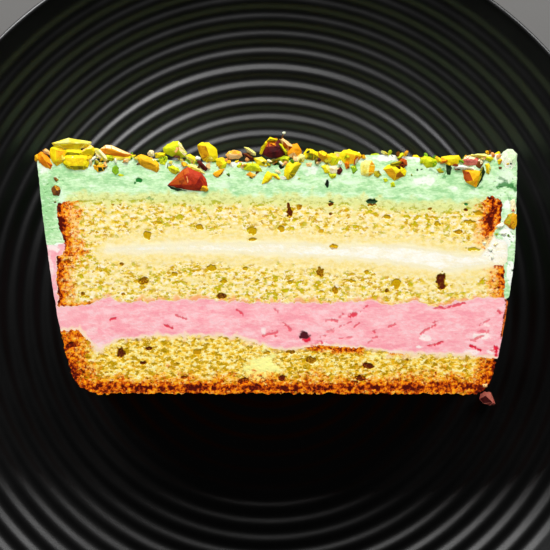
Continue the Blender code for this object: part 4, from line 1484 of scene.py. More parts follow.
class NutLook(Enum):
    """How a piece of pistachio looks: flesh, darker flesh, skin and darker skin, as screen colours."""

    YELLOW = ((255, 234, 10), (240, 200, 0), (236, 206, 20), (206, 150, 4))
    PALE = ((254, 248, 140), (246, 226, 70), (240, 230, 90), (214, 186, 40))
    CREAM = ((255, 244, 196), (248, 218, 140), (250, 236, 180), (230, 190, 110))
    LIME = ((222, 230, 14), (176, 196, 0), (170, 190, 20), (116, 130, 4))
    OLIVE = ((184, 172, 6), (128, 120, 0), (140, 130, 6), (84, 76, 0))
    GREEN = ((132, 180, 12), (74, 122, 0), (96, 146, 10), (44, 84, 0))
    HONEY = ((255, 192, 10), (236, 152, 2), (232, 160, 6), (180, 100, 0))
    ORANGE = ((255, 166, 6), (244, 130, 0), (236, 130, 6), (176, 80, 0))
    PEACH = ((255, 212, 140), (246, 166, 70), (244, 176, 96), (206, 104, 30))
    AMBER = ((226, 166, 6), (178, 106, 0), (164, 92, 2), (96, 44, 0))
    RUST = ((200, 88, 10), (132, 42, 2), (150, 52, 6), (80, 16, 2))
    SKIN = ((190, 52, 8), (140, 20, 2), (150, 30, 6), (72, 4, 4))
    MAROON = ((92, 8, 8), (54, 0, 6), (84, 8, 10), (40, 0, 4))
    BROWN = ((124, 70, 8), (76, 36, 2), (104, 56, 8), (48, 20, 2))
    ROSE = ((240, 134, 114), (214, 84, 72), (236, 140, 124), (180, 62, 50))
    MINT = ((232, 248, 210), (206, 236, 180), (228, 244, 204), (198, 226, 166))
    WHITE = ((254, 254, 232), (238, 246, 208), (250, 250, 230), (226, 236, 196))
    # Painted shadow: nearly black pieces laid where the gaps between the nuts are in shade.
    DARK = ((22, 50, 6), (8, 24, 2), (24, 44, 8), (6, 16, 2))

    def material(self) -> Material:
        """Pistachio: clean flesh where it was chopped, mottled skin elsewhere."""
        material, steps, shader = new_material("pistachio_" + self.name.lower())
        flesh, shade, skin, deep = self.value
        place = steps.place()
        broad = steps.cloud(place, 0.5, 3.0, 0.6)
        fine = steps.cloud(place, 2.4)
        patchy = steps.math("ADD", broad, steps.math("MULTIPLY", steps.mark("tone"), 0.32))
        inside = steps.blend(steps.step(patchy, 0.64, 0.86), flesh, shade)
        mottled = steps.math("ADD", broad, steps.math("MULTIPLY", fine, 0.5))
        outside = steps.blend(steps.step(mottled, 0.6, 0.95), skin, deep)
        colour = steps.blend(steps.mark("cut"), outside, inside)
        colour = steps.blend(steps.step(fine, 0.4, 0.8, 0.0, 0.18), colour, shade, "MULTIPLY")
        set_surface(shader, colour, 0.55, 0.2, (0.08, 0.001, (1.0, 0.8, 0.3)))
        relief(steps, shader, fine, 0.2)
        return material


@dataclass(frozen=True)
class Nut:
    """A small piece of pistachio: its pixel, its size in millimetres, its turn, its look and its height."""

    px: float
    py: float
    length: float
    width: float
    turn: float
    look: NutLook
    proud: float = 0.5
    cuts: int = 4
    deep: float = 0.8


@dataclass(frozen=True)
class Chip:
    """A larger piece, by its outline and the ridge of its facets, both in pixels x, y, x, y of the picture.

    The facets that look towards one side may differ. On some pieces the other look is the skin that the
    kernel keeps there; on others it is painted shade on the side turned from the light, and on others a
    painted highlight on the side turned to it. Heights are over the cut face.
    """

    outline: tuple[float, ...]
    ridge: tuple[float, ...]
    look: NutLook
    other: NutLook | None = None
    toward: float = 0.0
    proud: float = 0.8
    rim: float = 0.1
    deep: float = 2.4


# The tables below are long, so they use a short name.
Y = NutLook
# Each row is the kernel of its number: kernel_01, kernel_02 and so on.
# Where a row's other look is darker and faces away from the light it is painted shade, where it is paler and
# faces the light a painted highlight, and elsewhere skin or a second tone.
KERNEL_CHIPS = tuple(Chip(*row) for row in (
    ((50, 148, 55, 146, 62, 147, 66, 151, 65, 158, 62, 163, 57, 166, 53, 163, 50, 157), (56, 150, 57, 161),
     Y.YELLOW, Y.HONEY, 0, 1.0),
    ((51, 143, 57, 142, 65, 140, 69, 138, 72, 141, 80, 143, 92, 142, 90, 146, 80, 149, 67, 149, 56, 148),
     (56, 144, 70, 141, 87, 144), Y.PALE, Y.YELLOW, -90, 1.2, 0.2),
    ((63, 158, 67, 155, 73, 154, 81, 155, 88, 155, 90, 161, 88, 167, 84, 170, 74, 170, 66, 168, 63, 163),
     (67, 158, 85, 158, 84, 166, 69, 166), Y.YELLOW, Y.OLIVE, -90, 0.8),
    ((100, 149, 105, 145, 111, 145, 118, 148, 126, 152, 134, 155, 128, 158, 116, 156, 105, 154), (106, 149,
     112, 149, 124, 154), Y.ORANGE, Y.CREAM, 90, 0.9),
    ((136, 157, 141, 154, 148, 156, 154, 159, 159, 164, 160, 169, 157, 173, 153, 169, 146, 167, 140, 165),
     (142, 159, 150, 161, 156, 166), Y.HONEY, Y.AMBER, -90, 0.8),
    ((163, 148, 167, 144, 173, 142, 178, 141, 181, 144, 184, 149, 187, 153, 185, 157, 178, 158, 171, 156,
     164, 153), (169, 148, 178, 145, 180, 152), Y.LIME, Y.CREAM, 10, 1.1),
    ((168, 185, 172, 180, 178, 174, 183, 169, 188, 167, 196, 170, 202, 174, 206, 179, 208, 185, 207, 190,
     200, 191, 191, 190, 183, 189, 175, 186), (184, 176, 190, 173, 200, 178, 196, 185, 188, 185), Y.SKIN,
     Y.RUST, 170, 1.1),
    ((197, 145, 202, 142, 209, 143, 214, 146, 217, 150, 218, 157, 215, 161, 207, 162, 203, 160, 199, 153),
     (206, 146, 211, 148, 210, 156), Y.YELLOW, Y.AMBER, 190, 1.1),
    ((243, 167, 247, 163, 256, 163, 261, 168, 263, 172, 257, 171, 249, 171, 244, 170), (249, 166, 256, 167),
     Y.LIME, Y.OLIVE, -20, 0.7),
    ((260, 154, 262, 148, 266, 142, 270, 138, 277, 138, 281, 142, 285, 148, 286, 155, 280, 158, 272, 158,
     264, 156), (268, 147, 276, 147, 278, 152, 270, 153), Y.MAROON, Y.RUST, 120, 0.9),
    ((284, 176, 284, 170, 286, 164, 291, 161, 297, 162, 301, 164, 299, 168, 296, 174, 292, 178, 288, 180),
     (290, 166, 294, 167, 289, 174), Y.YELLOW, Y.OLIVE, -20, 0.9),
    ((287, 152, 290, 148, 293, 144, 297, 143, 300, 147, 302, 152, 299, 158, 292, 158, 287, 156), (296, 148,
     294, 152), Y.ORANGE, Y.PEACH, -100, 1.0),
    ((339, 153, 344, 150, 349, 149, 355, 151, 360, 153, 362, 157, 358, 161, 353, 164, 345, 164, 340, 159),
     (346, 153, 355, 155), Y.YELLOW, Y.HONEY, -60, 0.9),
    ((361, 162, 366, 160, 372, 160, 375, 166, 374, 173, 368, 177, 361, 175, 360, 168), (365, 164, 369, 165,
     368, 173), Y.PALE, Y.HONEY, 0, 0.7),
    ((383, 169, 388, 165, 394, 163, 400, 165, 405, 168, 407, 171, 405, 176, 399, 179, 394, 181, 390, 177,
     386, 173), (392, 168, 400, 171, 396, 174), Y.YELLOW, Y.AMBER, -110, 0.8),
    ((441, 157, 445, 156, 452, 156, 459, 155, 461, 159, 459, 164, 452, 166, 445, 164, 441, 161), (446, 159,
     457, 158), Y.YELLOW, Y.ORANGE, 180, 0.7),
    ((462, 170, 468, 168, 475, 170, 481, 171, 482, 177, 479, 183, 476, 188, 470, 185, 465, 182, 463, 176),
     (469, 172, 476, 174, 473, 181), Y.HONEY, Y.RUST, 180, 0.8),
))
# Pieces that have no CAD node.
# Their other looks are painted shade and painted highlights in the same way, and the darkest pieces lie in
# shaded gaps as painted shadow.
LOOSE_CHIPS = tuple(Chip(*row) for row in (
    ((38, 154, 41, 151, 46, 154, 50, 159, 53, 165, 51, 169, 46, 168, 41, 164, 38, 160), (43, 157, 46, 161),
     Y.ORANGE, Y.RUST, -30, 0.9),
    ((34, 155, 38, 154, 40, 158, 38, 162, 34, 160), (36, 157, 38, 159), Y.HONEY, Y.AMBER, -90, 0.3, -0.4),
    ((42, 150, 46, 149, 49, 151, 50, 155, 45, 154), (45, 151, 47, 152), Y.PEACH, Y.CREAM, -90, 1.0),
    ((79, 154, 84, 149, 90, 145, 94, 147, 95, 152, 93, 156, 87, 156, 81, 156), (87, 150, 92, 149), Y.YELLOW,
     Y.PEACH, 120, 1.2),
    ((94, 148, 100, 149, 104, 153, 108, 158, 108, 163, 103, 160, 98, 154, 94, 152), (99, 151, 105, 158),
     Y.PALE, Y.CREAM, 0, 1.0),
    ((93, 165, 100, 164, 105, 164, 107, 167, 104, 171, 98, 172, 94, 169), (98, 167, 102, 167), Y.HONEY,
     Y.DARK, -50, 0.5),
    ((103, 163, 106, 161, 108, 166, 106, 169), (105, 164, 106, 166), Y.PEACH, Y.ROSE, -90, 0.7),
    ((106, 155, 118, 156, 130, 157, 136, 155, 130, 160, 115, 160), (112, 157, 130, 158), Y.YELLOW, Y.PALE,
     -90, 0.3),
    ((106, 155, 112, 155, 115, 158, 112, 162, 107, 160), (109, 157, 112, 158), Y.LIME, Y.OLIVE, -45, 0.6),
    ((112, 167, 116, 165, 119, 168, 119, 173, 115, 175, 112, 172), (116, 168, 115, 171), Y.GREEN, None, 0,
     0.2),
    ((147, 153, 150, 150, 154, 151, 154, 156, 149, 157), (150, 152, 152, 154), Y.CREAM, Y.PALE, -90, 0.9),
    ((154, 153, 160, 152, 166, 153, 164, 157, 156, 158), (158, 154, 163, 155), Y.YELLOW, Y.OLIVE, 180, 0.6),
    ((158, 160, 162, 156, 167, 156, 168, 160, 165, 165, 160, 164), (163, 159, 165, 161), Y.LIME, Y.GREEN, 90,
     0.3),
    ((184, 155, 190, 154, 195, 157, 199, 162, 194, 164, 188, 161), (189, 157, 194, 160), Y.YELLOW, Y.PALE,
     -90, 0.7),
    ((194, 158, 197, 156, 201, 158, 200, 161, 195, 161), (197, 158, 198, 159), Y.WHITE, None, 0, 0.7),
    ((196, 162, 199, 160, 204, 164, 208, 169, 206, 172, 201, 168), (200, 163, 205, 168), Y.MAROON, None, 0,
     0.9),
    ((186, 164, 195, 165, 203, 170, 205, 174, 197, 172, 189, 169), (191, 166, 199, 170), Y.PALE, Y.YELLOW,
     -90, 0.4),
    ((167, 167, 172, 165, 178, 168, 181, 171, 176, 175, 170, 172), (171, 168, 176, 170), Y.LIME, Y.OLIVE,
     -60, 0.4),
    ((198, 188, 203, 184, 207, 186, 209, 190, 206, 192, 200, 191), (203, 187, 206, 188), Y.HONEY, Y.AMBER,
     -90, 0.9),
    ((185, 178, 187, 174, 189, 177, 189, 184, 186, 187), (187, 177, 188, 183), Y.PEACH, Y.RUST, 180, 1.3),
    ((167, 185, 173, 187, 182, 190, 187, 191, 178, 191, 171, 189), (172, 187, 181, 190), Y.DARK, None, 0,
     0.3),
    ((213, 174, 218, 170, 225, 169, 222, 175, 217, 178), (218, 172, 220, 174), Y.HONEY, Y.BROWN, -60, 0.3),
    ((216, 158, 223, 157, 228, 161, 226, 168, 220, 169, 216, 164), (220, 160, 223, 164), Y.YELLOW, Y.LIME,
     -60, 0.6),
    ((225, 155, 229, 151, 235, 150, 241, 152, 243, 156, 238, 159, 229, 159), (230, 154, 238, 155), Y.PEACH,
     Y.HONEY, 90, 0.8),
    ((244, 147, 248, 147, 256, 153, 256, 156, 251, 155, 246, 151), (247, 149, 253, 153), Y.PALE, Y.CREAM,
     -90, 1.3),
    ((242, 153, 248, 153, 254, 158, 252, 161, 246, 158), (246, 155, 251, 158), Y.MAROON, Y.BROWN, 90, 0.8),
    ((253, 158, 262, 157, 267, 161, 264, 167, 257, 165), (258, 160, 262, 162), Y.YELLOW, Y.PALE, 90, 0.7),
    ((245, 175, 250, 172, 257, 175, 252, 178), (250, 174, 253, 176), Y.HONEY, Y.PEACH, 0, 0.3),
    ((259, 154, 261, 147, 266, 141, 268, 143, 264, 149, 262, 155), (262, 148, 265, 144), Y.YELLOW, Y.OLIVE,
     180, 1.2),
    ((265, 142, 270, 137, 278, 139, 277, 142, 270, 142), (270, 139, 275, 140), Y.YELLOW, Y.OLIVE, -90, 1.3),
    ((278, 143, 282, 144, 288, 152, 286, 155, 281, 149), (281, 146, 285, 152), Y.LIME, Y.OLIVE, -90, 1.3),
    ((267, 143, 275, 142, 278, 147, 272, 149), (271, 144, 275, 146), Y.RUST, Y.ORANGE, 90, 1.2),
    ((279, 139, 283, 138, 289, 142, 293, 147, 288, 151, 283, 146), (283, 141, 288, 146), Y.PEACH, Y.RUST,
     -80, 1.2),
    ((295, 157, 300, 153, 306, 156, 304, 162, 297, 163), (299, 157, 302, 158), Y.PALE, Y.CREAM, 180, 0.6),
    ((277, 158, 284, 156, 290, 157, 289, 162, 282, 164), (282, 159, 287, 159), Y.LIME, Y.OLIVE, -60, 0.7),
    ((262, 184, 264, 175, 268, 171, 273, 174, 272, 179, 267, 183), (267, 175, 268, 180), Y.YELLOW, Y.HONEY,
     -60, 0.5),
    ((272, 173, 277, 174, 281, 179, 278, 181, 273, 177), (275, 175, 278, 178), Y.YELLOW, Y.AMBER, -90, 0.4),
    ((303, 153, 307, 149, 312, 149, 318, 152, 319, 157, 313, 161, 306, 159), (309, 153, 314, 154), Y.YELLOW,
     Y.OLIVE, -90, 0.8),
    ((305, 163, 312, 163, 311, 167, 306, 167), (308, 164, 310, 165), Y.PEACH, Y.AMBER, -90, 0.3),
    ((318, 152, 322, 150, 327, 153, 327, 158, 325, 163, 320, 161, 318, 157), (321, 155, 325, 157), Y.AMBER,
     Y.YELLOW, 90, 0.9),
    ((326, 155, 332, 153, 338, 154, 341, 159, 338, 164, 331, 166, 327, 161), (331, 157, 337, 158), Y.YELLOW,
     Y.LIME, -40, 0.9),
    ((321, 166, 327, 164, 331, 168, 330, 173, 325, 173), (325, 167, 327, 170), Y.YELLOW, Y.PALE, 0, 0.5),
    ((328, 167, 335, 165, 338, 169, 336, 174, 330, 173), (331, 168, 335, 170), Y.CREAM, Y.PALE, 180, 0.6),
    ((328, 173, 336, 173, 336, 177, 332, 179, 329, 177), (331, 175, 334, 175), Y.LIME, Y.OLIVE, -60, 0.4),
    ((336, 170, 340, 167, 343, 170, 340, 175, 337, 174), (339, 169, 340, 172), Y.MAROON, Y.PEACH, 130, 0.6),
    ((344, 163, 349, 161, 350, 168, 346, 169), (347, 163, 348, 166), Y.ORANGE, Y.RUST, -60, 0.8),
    ((353, 160, 358, 156, 359, 160, 354, 166), (355, 161, 357, 158), Y.RUST, Y.CREAM, 0, 1.0),
    ((350, 167, 356, 164, 358, 170, 353, 174), (353, 168, 355, 169), Y.GREEN, Y.LIME, 90, 0.3),
    ((374, 171, 379, 170, 382, 175, 378, 178, 374, 176), (377, 173, 379, 175), Y.OLIVE, Y.GREEN, -60, 0.3),
    ((398, 161, 402, 158, 407, 160, 407, 165, 403, 169, 399, 166), (402, 161, 404, 164), Y.RUST, Y.MAROON,
     -100, 1.0),
    ((394, 165, 400, 166, 401, 171, 397, 169), (397, 167, 399, 168), Y.MAROON, None, 0, 1.0),
    ((420, 158, 424, 156, 430, 157, 437, 160, 437, 165, 432, 168, 426, 168, 422, 163), (425, 160, 432, 162),
     Y.LIME, Y.GREEN, -30, 0.7),
    ((446, 165, 450, 164, 452, 168, 450, 175, 447, 175), (448, 168, 449, 172), Y.DARK, None, 0, 0.2),
    ((436, 169, 441, 168, 444, 172, 440, 174), (439, 170, 441, 171), Y.OLIVE, Y.GREEN, 0, 0.2),
    ((462, 160, 465, 156, 471, 155, 477, 157, 480, 161, 476, 165, 468, 166, 463, 164), (467, 159, 473, 160),
     Y.ROSE, Y.CREAM, 100, 0.9),
    ((466, 156, 474, 154, 485, 154, 491, 157, 488, 159, 478, 158), (474, 155, 484, 156), Y.PALE, Y.YELLOW, 0,
     0.9),
    ((484, 157, 491, 156, 494, 159, 490, 162, 485, 160), (487, 158, 490, 159), Y.LIME, Y.YELLOW, 90, 0.7),
    ((453, 166, 462, 165, 474, 168, 476, 171, 464, 169, 455, 169), (458, 167, 470, 168), Y.WHITE, None, 0,
     1.0),
    ((476, 160, 481, 158, 484, 163, 480, 169, 476, 166), (479, 162, 480, 165), Y.BROWN, Y.CREAM, 60, 0.7),
    ((479, 171, 483, 166, 485, 172, 482, 180, 477, 187, 477, 181), (482, 171, 481, 178), Y.DARK, Y.OLIVE,
     180, 0.6),
    ((485, 164, 489, 163, 491, 169, 489, 175, 486, 173), (488, 166, 488, 171), Y.YELLOW, Y.PALE, 0, 0.7),
    ((497, 160, 500, 158, 502, 160, 500, 165, 498, 164), (500, 160, 499, 162), Y.YELLOW, Y.HONEY, -60, 0.5),
    ((503, 223, 508, 215, 513, 212, 517, 215, 517, 224, 514, 230, 509, 228), (511, 218, 514, 222, 510, 225),
     Y.AMBER, Y.OLIVE, 170, 0.5),
    ((510, 201, 514, 199, 516, 205, 515, 212, 511, 211), (513, 203, 513, 208), Y.CREAM, Y.ROSE, -90, 0.4),
    ((51, 189, 54, 185, 59, 186, 61, 190, 59, 196, 53, 195), (55, 188, 57, 191), Y.BROWN, Y.AMBER, 60, 0.3),
    ((53, 177, 57, 178, 59, 180, 56, 182), (56, 179, 57, 180), Y.BROWN, Y.OLIVE, 0, 0.2),
    ((482, 384, 487, 384, 487, 387, 483, 387), (484, 385, 486, 386), Y.PEACH, None, 0, 0.3),
    ((494, 402, 498, 400, 505, 400, 508, 407, 511, 413, 504, 414, 497, 412, 493, 407), (499, 403, 505, 405,
     507, 411), Y.ROSE, Y.MAROON, -110, -21.4, -22.6, 24.1),
    ((63, 150, 70, 148, 80, 149, 85, 152, 82, 157, 70, 157, 64, 155), (68, 152, 79, 153), Y.YELLOW, Y.OLIVE,
     -90, 0.6),
    ((500, 160, 502, 153, 507, 149, 513, 149, 517, 154, 517, 165, 513, 171, 506, 170, 501, 166), (507, 155,
     512, 160), Y.MINT, Y.WHITE, -120, 0.35, -0.05),
    ((383, 179, 387, 178, 389, 182, 385, 182), (385, 180, 387, 180), Y.LIME, None, 0, 0.2),
    ((390, 183, 394, 182, 395, 187, 391, 187), (392, 184, 393, 185), Y.LIME, Y.GREEN, -90, 0.2),
))
# Pieces too small for an outline.
NUTS = tuple(Nut(*row) for row in (
    (94, 158, 2.6, 0.8, 40, Y.WHITE, 0.2), (99, 157, 2.2, 0.7, -40, Y.CREAM, 0.5),
    (97, 161, 2.0, 0.6, -50, Y.WHITE, 0.1), (91, 162, 0.9, 2.4, 8, Y.CREAM, 0.5),
    (120, 175, 2.4, 0.7, -18, Y.LIME, 0.1), (139, 164, 1.6, 1.2, 0, Y.BROWN, 0.2),
    (177, 157, 2.0, 0.7, -12, Y.BROWN, 1.0), (176, 150, 1.8, 1.5, 60, Y.PEACH, 1.2),
    (186, 165, 1.4, 1.0, 20, Y.OLIVE, 0.3), (209, 165, 2.2, 1.4, 60, Y.PEACH, 0.5),
    (211, 158, 2.0, 1.6, 30, Y.PALE, 0.8), (228, 174, 2.4, 1.1, -55, Y.GREEN, 0.2),
    (232, 165, 0.5, 2.0, -10, Y.OLIVE, 0.0), (251, 178, 0.9, 0.6, -20, Y.DARK, 0.2),
    (258, 172, 1.6, 0.8, 20, Y.BROWN, 0.4), (270, 161, 1.6, 0.6, -20, Y.CREAM, 0.6),
    (277, 160, 2.0, 0.8, 10, Y.OLIVE, 0.6), (284, 133, 0.9, 0.7, 20, Y.WHITE, 0.6),
    (282, 137, 1.8, 0.35, 60, Y.BROWN, 0.6), (283, 178, 1.8, 1.0, -10, Y.WHITE, 0.3),
    (279, 172, 2.6, 0.8, -20, Y.CREAM, 0.3), (308, 152, 1.1, 0.7, 10, Y.DARK, 1.0),
    (299, 179, 1.0, 0.7, 0, Y.LIME, 0.1), (340, 163, 1.4, 1.0, 40, Y.WHITE, 0.8),
    (319, 160, 1.0, 1.0, 20, Y.MAROON, 0.9), (347, 157, 1.8, 1.0, 30, Y.LIME, 1.1),
    (396, 163, 3.2, 0.8, 12, Y.OLIVE, 1.0), (412, 175, 1.0, 0.7, 0, Y.LIME, 0.1),
    (417, 170, 1.0, 0.6, 40, Y.DARK, 0.1), (422, 169, 1.2, 0.5, 20, Y.DARK, 0.1),
    (444, 161, 1.8, 1.2, 0, Y.ORANGE, 0.9), (455, 165, 1.6, 0.6, 0, Y.RUST, 0.9),
    (458, 169, 1.8, 0.5, 0, Y.BROWN, 0.4), (467, 161, 1.6, 1.2, 20, Y.ROSE, 1.2),
    (500, 168, 1.0, 0.7, 0, Y.BROWN, 0.2), (511, 164, 0.8, 0.9, 0, Y.DARK, 0.2),
    (484, 243, 1.5, 1.0, 20, Y.WHITE, 0.3), (490, 249, 1.8, 1.2, -30, Y.WHITE, 0.3),
    (496, 244, 1.4, 1.1, 60, Y.CREAM, 0.3), (487, 237, 1.2, 0.8, 10, Y.PEACH, 0.3),
    (492, 257, 1.5, 1.0, 80, Y.WHITE, 0.2), (497, 235, 1.6, 1.2, 20, Y.LIME, 0.2),
    (508, 164, 1.2, 0.7, 30, Y.YELLOW, 0.2), (500, 226, 2.4, 1.4, 20, Y.WHITE, 0.4),
    (503, 233, 1.8, 1.2, 0, Y.WHITE, 0.3), (508, 236, 2.2, 1.6, 40, Y.GREEN, 0.0),
    (55, 202, 0.9, 0.8, 0, Y.BROWN, 0.1),
))


def chopped(size: tuple[float, float, float], cuts: int, seed: int, fineness: int = 3) -> Shape:
    """One piece of chopped kernel about the origin.

    Args:
        size: its length, width and depth in millimetres.
        cuts: how many flat sides the knife gave it.
        seed: which cuts.
        fineness: how often the ball that it starts from is divided.

    Returns:
        The shape. Its face layer "cut" is 1 on its flat sides, and "tone" is a chance number for each.
    """
    chance = np.random.default_rng(seed)
    shape = bmesh.new()
    bmesh.ops.create_icosphere(shape, subdivisions=fineness, radius=0.5)
    label = shape.faces.layers.float.new("cut")
    tone = shape.faces.layers.float.new("tone")
    offset = Vector(chance.uniform(-50, 50, 3))
    for vertex in shape.verts:
        lumps = 0.2 * noise.noise(vertex.co * 2.6 + offset)
        vertex.co *= 1.0 + lumps + 0.07 * noise.noise(vertex.co * 7.0 + offset)
    for _ in range(cuts):
        facing = Vector(chance.normal(0, 1, 3)).normalized()
        place = facing * chance.uniform(0.2, 0.36)
        geometry = shape.verts[:] + shape.edges[:] + shape.faces[:]
        plane = {"plane_co": place, "plane_no": facing, "clear_outer": True}
        result = bmesh.ops.bisect_plane(shape, geom=geometry, **plane)
        edges = [e for e in result["geom_cut"] if isinstance(e, bmesh.types.BMEdge)]
        if len(edges) > 2:
            for face in bmesh.ops.contextual_create(shape, geom=edges)["faces"]:
                face[label] = 1.0
                face[tone] = chance.uniform()
    spans = np.array([v.co[:] for v in shape.verts])
    middle, extent = (spans.max(0) + spans.min(0)) / 2, np.ptp(spans, axis=0)
    bmesh.ops.translate(shape, vec=Vector(-middle), verts=shape.verts)
    bmesh.ops.scale(shape, vec=Vector(np.array(size) / extent), verts=shape.verts)
    bmesh.ops.recalc_face_normals(shape, faces=shape.faces)
    return shape


def nut_object(name: str, shape: Shape, place: tuple = (0, 0, 0), turn: float = 0.0,
               tilt: tuple[float, float] = (0.0, 0.0)) -> Object:
    """Puts a chopped piece in its place, with crisp edges round its cuts.

    Args:
        name: the piece's name.
        shape: the piece about the origin, in millimetres; it is freed.
        place: where its middle goes, in millimetres.
        turn: its turn in the plan, in degrees.
        tilt: how far it leans about its length and its width, in degrees.

    Returns:
        The object, at the origin.
    """
    lean = Matrix.Rotation(math.radians(tilt[0]), 4, "X") @ Matrix.Rotation(math.radians(tilt[1]), 4, "Y")
    pose = Matrix.Translation(place) @ Matrix.Rotation(math.radians(turn), 4, "Z") @ lean
    shape.transform(Matrix.Scale(MM, 4) @ pose)
    for edge in shape.edges:
        edge.smooth = edge.calc_face_angle(0.0) < math.radians(NUT_EDGE)
    for face in shape.faces:
        face.smooth = True
    mesh = bpy.data.meshes.new(name)
    shape.to_mesh(mesh)
    shape.free()
    thing = bpy.data.objects.new(name, mesh)
    bpy.context.scene.collection.objects.link(thing)
    return thing


def joined(name: str, things: list[Object]) -> Object:
    """Joins objects at the origin into one, with their materials."""
    bpy.ops.object.select_all(action="DESELECT")
    for thing in things:
        thing.select_set(True)
    bpy.context.view_layer.objects.active = things[0]
    bpy.ops.object.join()
    things[0].name = name
    return things[0]


def faceted(chip: Chip, top: float, seed: int) -> Shape:
    """One chopped piece with flat facets, from its outline and ridge.

    Args:
        chip: the piece.
        top: height of the cut face, in millimetres.
        seed: which small dents.

    Returns:
        The shape in its place, in millimetres; faces with the other look have material number 1.
    """
    outline, ridge = trail(*chip.outline), trail(*chip.ridge)
    middle = outline.mean(0)
    rings = ((1.0, chip.rim), (0.97, chip.rim - 0.8), (0.7, -chip.deep))
    points = [(*p, top + chip.proud) for p in ridge]
    for share, height in rings:
        points += [(*p, top + height) for p in middle + share * (outline - middle)]
    shape = bmesh.new()
    for point in points:
        shape.verts.new(point)
    hull = bmesh.ops.convex_hull(shape, input=shape.verts)
    spare = {v for v in hull["geom_interior"] + hull["geom_unused"] if isinstance(v, bmesh.types.BMVert)}
    bmesh.ops.delete(shape, geom=list(spare), context="VERTS")
    flat = math.radians(FLAT_FACET)
    bmesh.ops.dissolve_limit(shape, angle_limit=flat, verts=shape.verts, edges=shape.edges)
    bmesh.ops.recalc_face_normals(shape, faces=shape.faces)
    shape.faces.ensure_lookup_table()
    side = Vector((math.cos(math.radians(chip.toward)), math.sin(math.radians(chip.toward))))
    cut, tone = shape.faces.layers.float.new("cut"), shape.faces.layers.float.new("tone")
    chance = np.random.default_rng(seed)
    for face in shape.faces:
        lean = Vector(face.normal[:2])
        # Facets turned towards one side take the other look: on many pieces painted shade away from the
        # light, on some a painted highlight towards it, on others skin.
        other = chip.other is not None and lean.length > 0.12 and lean.normalized().dot(side) > 0.5
        face.material_index = int(other)
        face[cut] = 1.0
        face[tone] = chance.uniform()
    bevel = {"offset": NUT_BEVEL, "segments": 1, "affect": "EDGES", "clamp_overlap": True}
    bmesh.ops.bevel(shape, geom=shape.edges[:], **bevel)
    bmesh.ops.triangulate(shape, faces=shape.faces)
    bmesh.ops.subdivide_edges(shape, edges=shape.edges, cuts=2, use_grid_fill=True)
    offset = Vector(chance.uniform(-50, 50, 3))
    for vertex in shape.verts:
        dent = 0.2 * noise.noise(vertex.co * 1.1 + offset) + 0.1 * noise.noise(vertex.co * 2.6 + offset)
        vertex.co += dent * vertex.normal
    return shape


